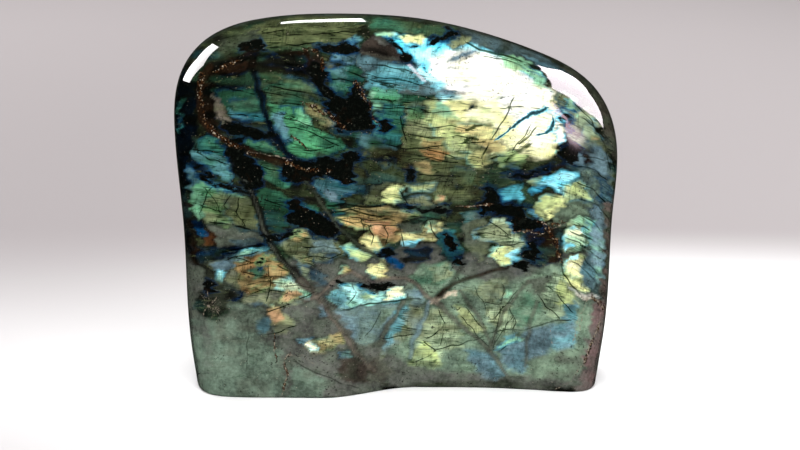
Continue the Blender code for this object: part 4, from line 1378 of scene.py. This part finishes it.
def with_inclusions(nodes, tone, place, grain_at):
    """Black inclusions with ragged edges and rusty hearts, with a fringe where the flash is."""
    ragged = nodes.times(nodes.noise(grain_at, INCLUSION_GRAIN, 5.0, 0.68), INCLUSION_RAGGEDNESS)
    depth = nodes.math("ADD", ragged, nodes.attribute("inclusion"))
    flashing = nodes.ramp(nodes.attribute("flash"), 0.2, 0.9, 0.1, 0.85)
    share = nodes.times(nodes.ramp(depth, 4.5, 8.5), flashing)
    tone = nodes.mix(share, tone, nodes.attribute("fringe", "Color"))
    rusty = nodes.patches("inclusion rust", place)
    heart = nodes.mix(rusty, colour("black"), colour("umber", 0.6))
    heart = nodes.mix(nodes.patches("inclusion grit", place), heart, colour("matrix", 0.6))
    return nodes.mix(nodes.ramp(depth, 7.6, 10.0), tone, heart)


def with_slits(nodes, tone, place):
    """Dark slits with bright blue edges, drawn in the flash."""
    holds = nodes.attribute("slit_on")
    uneven = nodes.noise(place, 0.7, 4.0, 0.65)
    wobble = nodes.ramp(uneven, 0.35, 0.65, 0.7, 1.5)
    off = nodes.times(nodes.off(nodes.attribute("slit")), wobble)
    edge = nodes.times(nodes.ramp(off, 1.2, 2.4, 0.8, 0.0), holds)
    tone = nodes.mix(edge, tone, colour("cyan"))
    core = nodes.times(nodes.ramp(off, 0.7, 1.4, 0.95, 0.0), holds)
    dark = nodes.mix(nodes.ramp(uneven, 0.4, 0.6), colour("ink"), colour("teal", 0.5))
    return nodes.mix(core, tone, dark)


def lined(nodes, tone, name, broken, paint, blend):
    """Lines of one kind, as listed, laid over the tone, here and there fading out."""
    cover = nodes.ramp(nodes.off(nodes.attribute(name)), 0.35, 1.15, 1.0, 0.0)
    cover = nodes.times(cover, nodes.attribute(name + "_on"))
    return nodes.mix(nodes.times(cover, broken), tone, paint, blend)


def with_hairlines(nodes, tone, place):
    """Dark hairlines, which show best in the flash."""
    flashing = nodes.ramp(nodes.attribute("flash"), 0.1, 0.9, 0.6, 1.0)
    broken = nodes.times(nodes.patches("hairline breaks", place), flashing)
    return lined(nodes, tone, "hairline", broken, HAIRLINE_TINT, "MULTIPLY")


def with_cracks(nodes, tone, place):
    """Pale cracks, in short bits."""
    broken = nodes.patches("crack breaks", place)
    return lined(nodes, tone, "crack", broken, colour("bone", 0.36), "MIX")


def crumbly(nodes, tone, place):
    """Strings of tiny grains, mostly dark brown, with golden and pale ones among them."""
    frayed = nodes.patches("crumb fraying", place)
    off = nodes.math("ADD", nodes.off(nodes.attribute("crumb")), frayed)
    cover = nodes.times(nodes.ramp(off, 0.4, 1.0, 0.95, 0.0), nodes.attribute("crumb_on"))
    cover = nodes.times(cover, nodes.patches("crumb gaps", place))
    cells = nodes.add("ShaderNodeTexVoronoi", {"Vector": place, "Scale": CRUMB_SCALE})
    lot = nodes.add("ShaderNodeSeparateColor", {0: cells.outputs["Color"]}).outputs[0]
    crumb = colour("umber", 0.35)
    for low, high, name, brightness in CRUMB_LOTS:
        crumb = nodes.mix(nodes.ramp(lot, low, high), crumb, colour(name, brightness))
    return nodes.mix(cover, tone, crumb)


def side_stone(nodes, place):
    """The stone where no flash shows: dark green-grey, banded and flecked, with pale cracks."""
    tone = colour("soot")
    for patches, name, brightness in SIDE_LAYERS:
        tone = nodes.mix(nodes.patches(patches, place), tone, colour(name, brightness))
    offset = nodes.off(nodes.noise(place, (0.05, 0.07, 0.04), 3.0, 0.6), 0.5)
    return nodes.mix(nodes.ramp(offset, 0.001, 0.005, 0.5, 0.0), tone, colour("ash"))


def labradorite():
    nodes = Nodes("labradorite")
    place = in_millimetres(nodes)
    grain_at = nodes.attribute("grain", "Vector")
    tone = mottled(nodes, grained(nodes, place, grain_at), place)
    tone = with_hairlines(nodes, glimmering(nodes, tone, grain_at), place)
    tone = with_slits(nodes, with_inclusions(nodes, tone, place, grain_at), place)
    tone = with_cracks(nodes, crumbly(nodes, tone, place), place)
    front_or_back = nodes.ramp(nodes.off(nodes.attribute("facing")), 0.10, 0.36)
    tone = speckled(nodes, nodes.mix(front_or_back, side_stone(nodes, place), tone), place)
    tone = nodes.mix(1.0, tone, (1 / FULL_LIGHT,) * 3 + (1.0,), "MULTIPLY")
    polish = {"Roughness": POLISH_ROUGHNESS, "IOR": LABRADORITE_IOR}
    return nodes.shaded({"Base Color": tone} | polish)


def sawn_stone():
    """The matte foot, which the saw has left grey."""
    nodes = Nodes("sawn_labradorite")
    mottle = nodes.patches("sawn mottling", in_millimetres(nodes))
    tone = nodes.mix(mottle, colour("dusk"), colour("fog"))
    return nodes.shaded({"Base Color": tone, "Roughness": SAWN_ROUGHNESS})


# ---------------------------------------------------------------------------------- the stone

def make_stone():
    """The stone, and a tree of its faces in which rays can be cast."""
    points, faces = stone_form()
    mesh = bpy.data.meshes.new("polished_stone")
    mesh.from_pydata((points * MM).tolist(), [], faces)
    mesh.update()
    mesh.shade_smooth()
    draw_markings(mesh, points)
    mesh.materials.append(labradorite())
    mesh.materials.append(sawn_stone())
    foot = mesh.polygons[len(mesh.polygons) - 1]
    foot.material_index = 1
    foot.use_smooth = False
    stone = placed("polished_stone", mesh)
    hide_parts("stone")
    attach(stone, "root")
    return stone, BVHTree.FromPolygons(points.tolist(), faces)


# -------------------------------------------------------------------------- the floor and light

FLOOR_RADIUS = 6.0
FLOOR_SIDES = 64
FLOOR_ROUGHNESS = 0.9
# Painted light: the white near the stone is a painted pool of studio light, and the darker distant
# tones are its painted falloff.
# The floor fades outwards, from white to a distant tone, and sooner and more softly on the left.
# The fade starts at the near distance and ends at the far one, in metres from the stone's middle.
# From FADE_LEFT to FADE_RIGHT the left's distances change to the right's, and from DISTANT_LEFT to
# DISTANT_RIGHT the distant tones do.
FADE_LEFT, FADE_RIGHT = -0.16, 0.05
# The sooner, softer fade on the left is a painted shadow to the left of the foot.
FLOOR_NEAR_LEFT, FLOOR_NEAR = -0.21, 0.10
FLOOR_FAR_LEFT, FLOOR_FAR = 0.28, 0.27
FLOOR_WHITE = (1.0, 1.0, 1.0, 1.0)
FLOOR_DISTANT_LEFT = (0.31, 0.285, 0.288, 1.0)
FLOOR_DISTANT_RIGHT = (0.385, 0.355, 0.358, 1.0)
DISTANT_LEFT, DISTANT_RIGHT = -0.2, 0.3
FLOOR_SQUEEZE = 0.45  # distances to the sides count this much, so the fade reaches further there

WORLD_LIGHT = (0.78, 0.77, 0.78, 1.0)
WORLD_STRENGTH = 0.45
# The large soft lamps: place, target, size and power, in metres and watts.
LAMPS = {
    "key": ((0.15, -1.3, 1.5), (0.0, 0.0, 0.05), (1.6, 1.2), 36.0),
    "back": ((-0.6, 1.4, 1.2), (0.0, 0.0, 0.05), (1.2, 1.0), 26.0),
    "overhead": ((0.0, 0.0, 1.9), (0.0, 0.0, 0.0), (1.4, 1.4), 18.0),
}
SOFTBOX_AWAY = 800.0  # millimetres from the stone
# The softboxes that show in the polish: corners in picture pixels, radiance and tint.
REFLECTIONS = {
    "glint_top_left": (
        "183,80 189,82.5 203,66 218,47.5 212.5,44 196,60",
        12.0, (1.0, 0.95, 0.96),
    ),
    "glint_top": (
        "280.5,22.6 281,24 320,22 366,21.4 361.5,18.4 320,19.4",
        8.0, (0.95, 1.0, 0.95),
    ),
    "glint_shoulder": (
        "537,64.5 546,67.5 561,70.7 574,77.4 582.5,85 589.5,93.5 596,103.5 600.8,112 "
        "603,119.5 603.3,128 590,114 576.5,104 566.6,96 552,88 547.4,78 541.3,70.6",
        18.0, (1.0, 0.90, 0.96),
    ),
    "glint_dim": (
        "546,104.5 553,102.3 561.5,113 567.5,122 577,128 586,138.5 577,147.5 572,143 "
        "564.7,132.5 566,122 556,114",
        9.0, (1.0, 0.72, 0.84),
    ),
    "glint_streak": ("407,65 410,64 427,81 424,83", 12.0, (1.0, 0.85, 0.92)),
}


def placed_panel(name, corners, material):
    """A new flat panel, in the scene."""
    mesh = bpy.data.meshes.new(name)
    mesh.from_pydata(corners, [], [list(range(len(corners)))])
    mesh.materials.append(material)
    return placed(name, mesh)


def floor_material():
    nodes = Nodes("floor")
    place = nodes.object_place()
    squeezed = nodes.stretched(place, (FLOOR_SQUEEZE, 1.0, 1.0))
    away = nodes.add("ShaderNodeVectorMath", {0: squeezed}, operation="LENGTH").outputs["Value"]
    across = nodes.add("ShaderNodeSeparateXYZ", {0: place}).outputs[0]
    near_edge = nodes.ramp(across, FADE_LEFT, FADE_RIGHT, FLOOR_NEAR_LEFT, FLOOR_NEAR)
    far_edge = nodes.ramp(across, FADE_LEFT, FADE_RIGHT, FLOOR_FAR_LEFT, FLOOR_FAR)
    rightness = nodes.ramp(across, DISTANT_LEFT, DISTANT_RIGHT)
    distant = nodes.mix(rightness, FLOOR_DISTANT_LEFT, FLOOR_DISTANT_RIGHT)
    # a painted pool of light on the floor, with a painted shadow to the left of the foot
    tone = nodes.mix(nodes.ramp(away, near_edge, far_edge), FLOOR_WHITE, distant)
    dullness = {"Roughness": FLOOR_ROUGHNESS, "Specular IOR Level": 0.0}
    return nodes.shaded({"Base Color": tone} | dullness)


def make_floor():
    corners = [
        (FLOOR_RADIUS * math.cos(turn), FLOOR_RADIUS * math.sin(turn), 0.0)
        for turn in np.linspace(0, 2 * math.pi, FLOOR_SIDES, endpoint=False)
    ]
    floor = placed_panel("floor", corners, floor_material())
    floor.visible_glossy = False


def make_world():
    world = bpy.data.worlds.new("studio")
    bpy.context.scene.world = world
    world.use_nodes = True
    background = world.node_tree.nodes["Background"]
    background.inputs["Color"].default_value = WORLD_LIGHT
    background.inputs["Strength"].default_value = WORLD_STRENGTH
    world.cycles_visibility.glossy = False


def make_lamp(name, place, target, size, power):
    """A large soft lamp, which doesn't show in the polish."""
    data = bpy.data.lights.new(name, "AREA")
    data.shape = "RECTANGLE"
    data.size, data.size_y = size
    data.energy = power
    lamp = placed(name, data)
    lamp.location = place
    aim = Vector(target) - Vector(place)
    lamp.rotation_euler = aim.to_track_quat("-Z", "Y").to_euler()
    lamp.visible_camera = lamp.visible_glossy = False


def glowing(name, radiance, tint):
    glow = {"Emission Color": tint + (1.0,), "Emission Strength": radiance}
    return Nodes(name).shaded({"Base Color": (0.0, 0.0, 0.0, 1.0)} | glow)


def mirrored_ray(tree, px, py):
    """Where the ray through a picture pixel meets the stone, and which way it goes from there."""
    aside = RIGHTWARD * (px - FRAME_WIDTH / 2) + UPWARD * (FRAME_HEIGHT / 2 - py)
    ray = Vector(FORWARD + aside / PIXELS_PER_RADIAN).normalized()
    place, normal, _, _ = tree.ray_cast(Vector(CAMERA_AT), ray)
    return place, ray - 2 * ray.dot(normal) * normal


def make_softbox(tree, name, corners, radiance, tint):
    """A flat lamp whose mirror image on the stone has these corners. It lights nothing else."""
    rays = [mirrored_ray(tree, px, py) for px, py in corners]
    way = sum((way for _, way in rays), Vector()).normalized()
    middle = sum((place for place, _ in rays), Vector()) / len(rays) + way * SOFTBOX_AWAY
    spots = [place + ray * ((middle - place).dot(way) / ray.dot(way)) for place, ray in rays]
    panel = placed_panel(name, [spot * MM for spot in spots], glowing(name, radiance, tint))
    panel.visible_camera = panel.visible_diffuse = panel.visible_shadow = False


def make_lights(tree):
    for name, (place, target, size, power) in LAMPS.items():
        make_lamp(name, place, target, size, power)
    for name, (corners, radiance, tint) in REFLECTIONS.items():
        make_softbox(tree, name, pixels(corners), radiance, tint)


# ---------------------------------------------------------------------------------- the scene

bpy.context.scene.view_settings.view_transform = "Standard"
polished_stone, stone_tree = make_stone()
make_floor()
make_world()
make_camera()
make_lights(stone_tree)
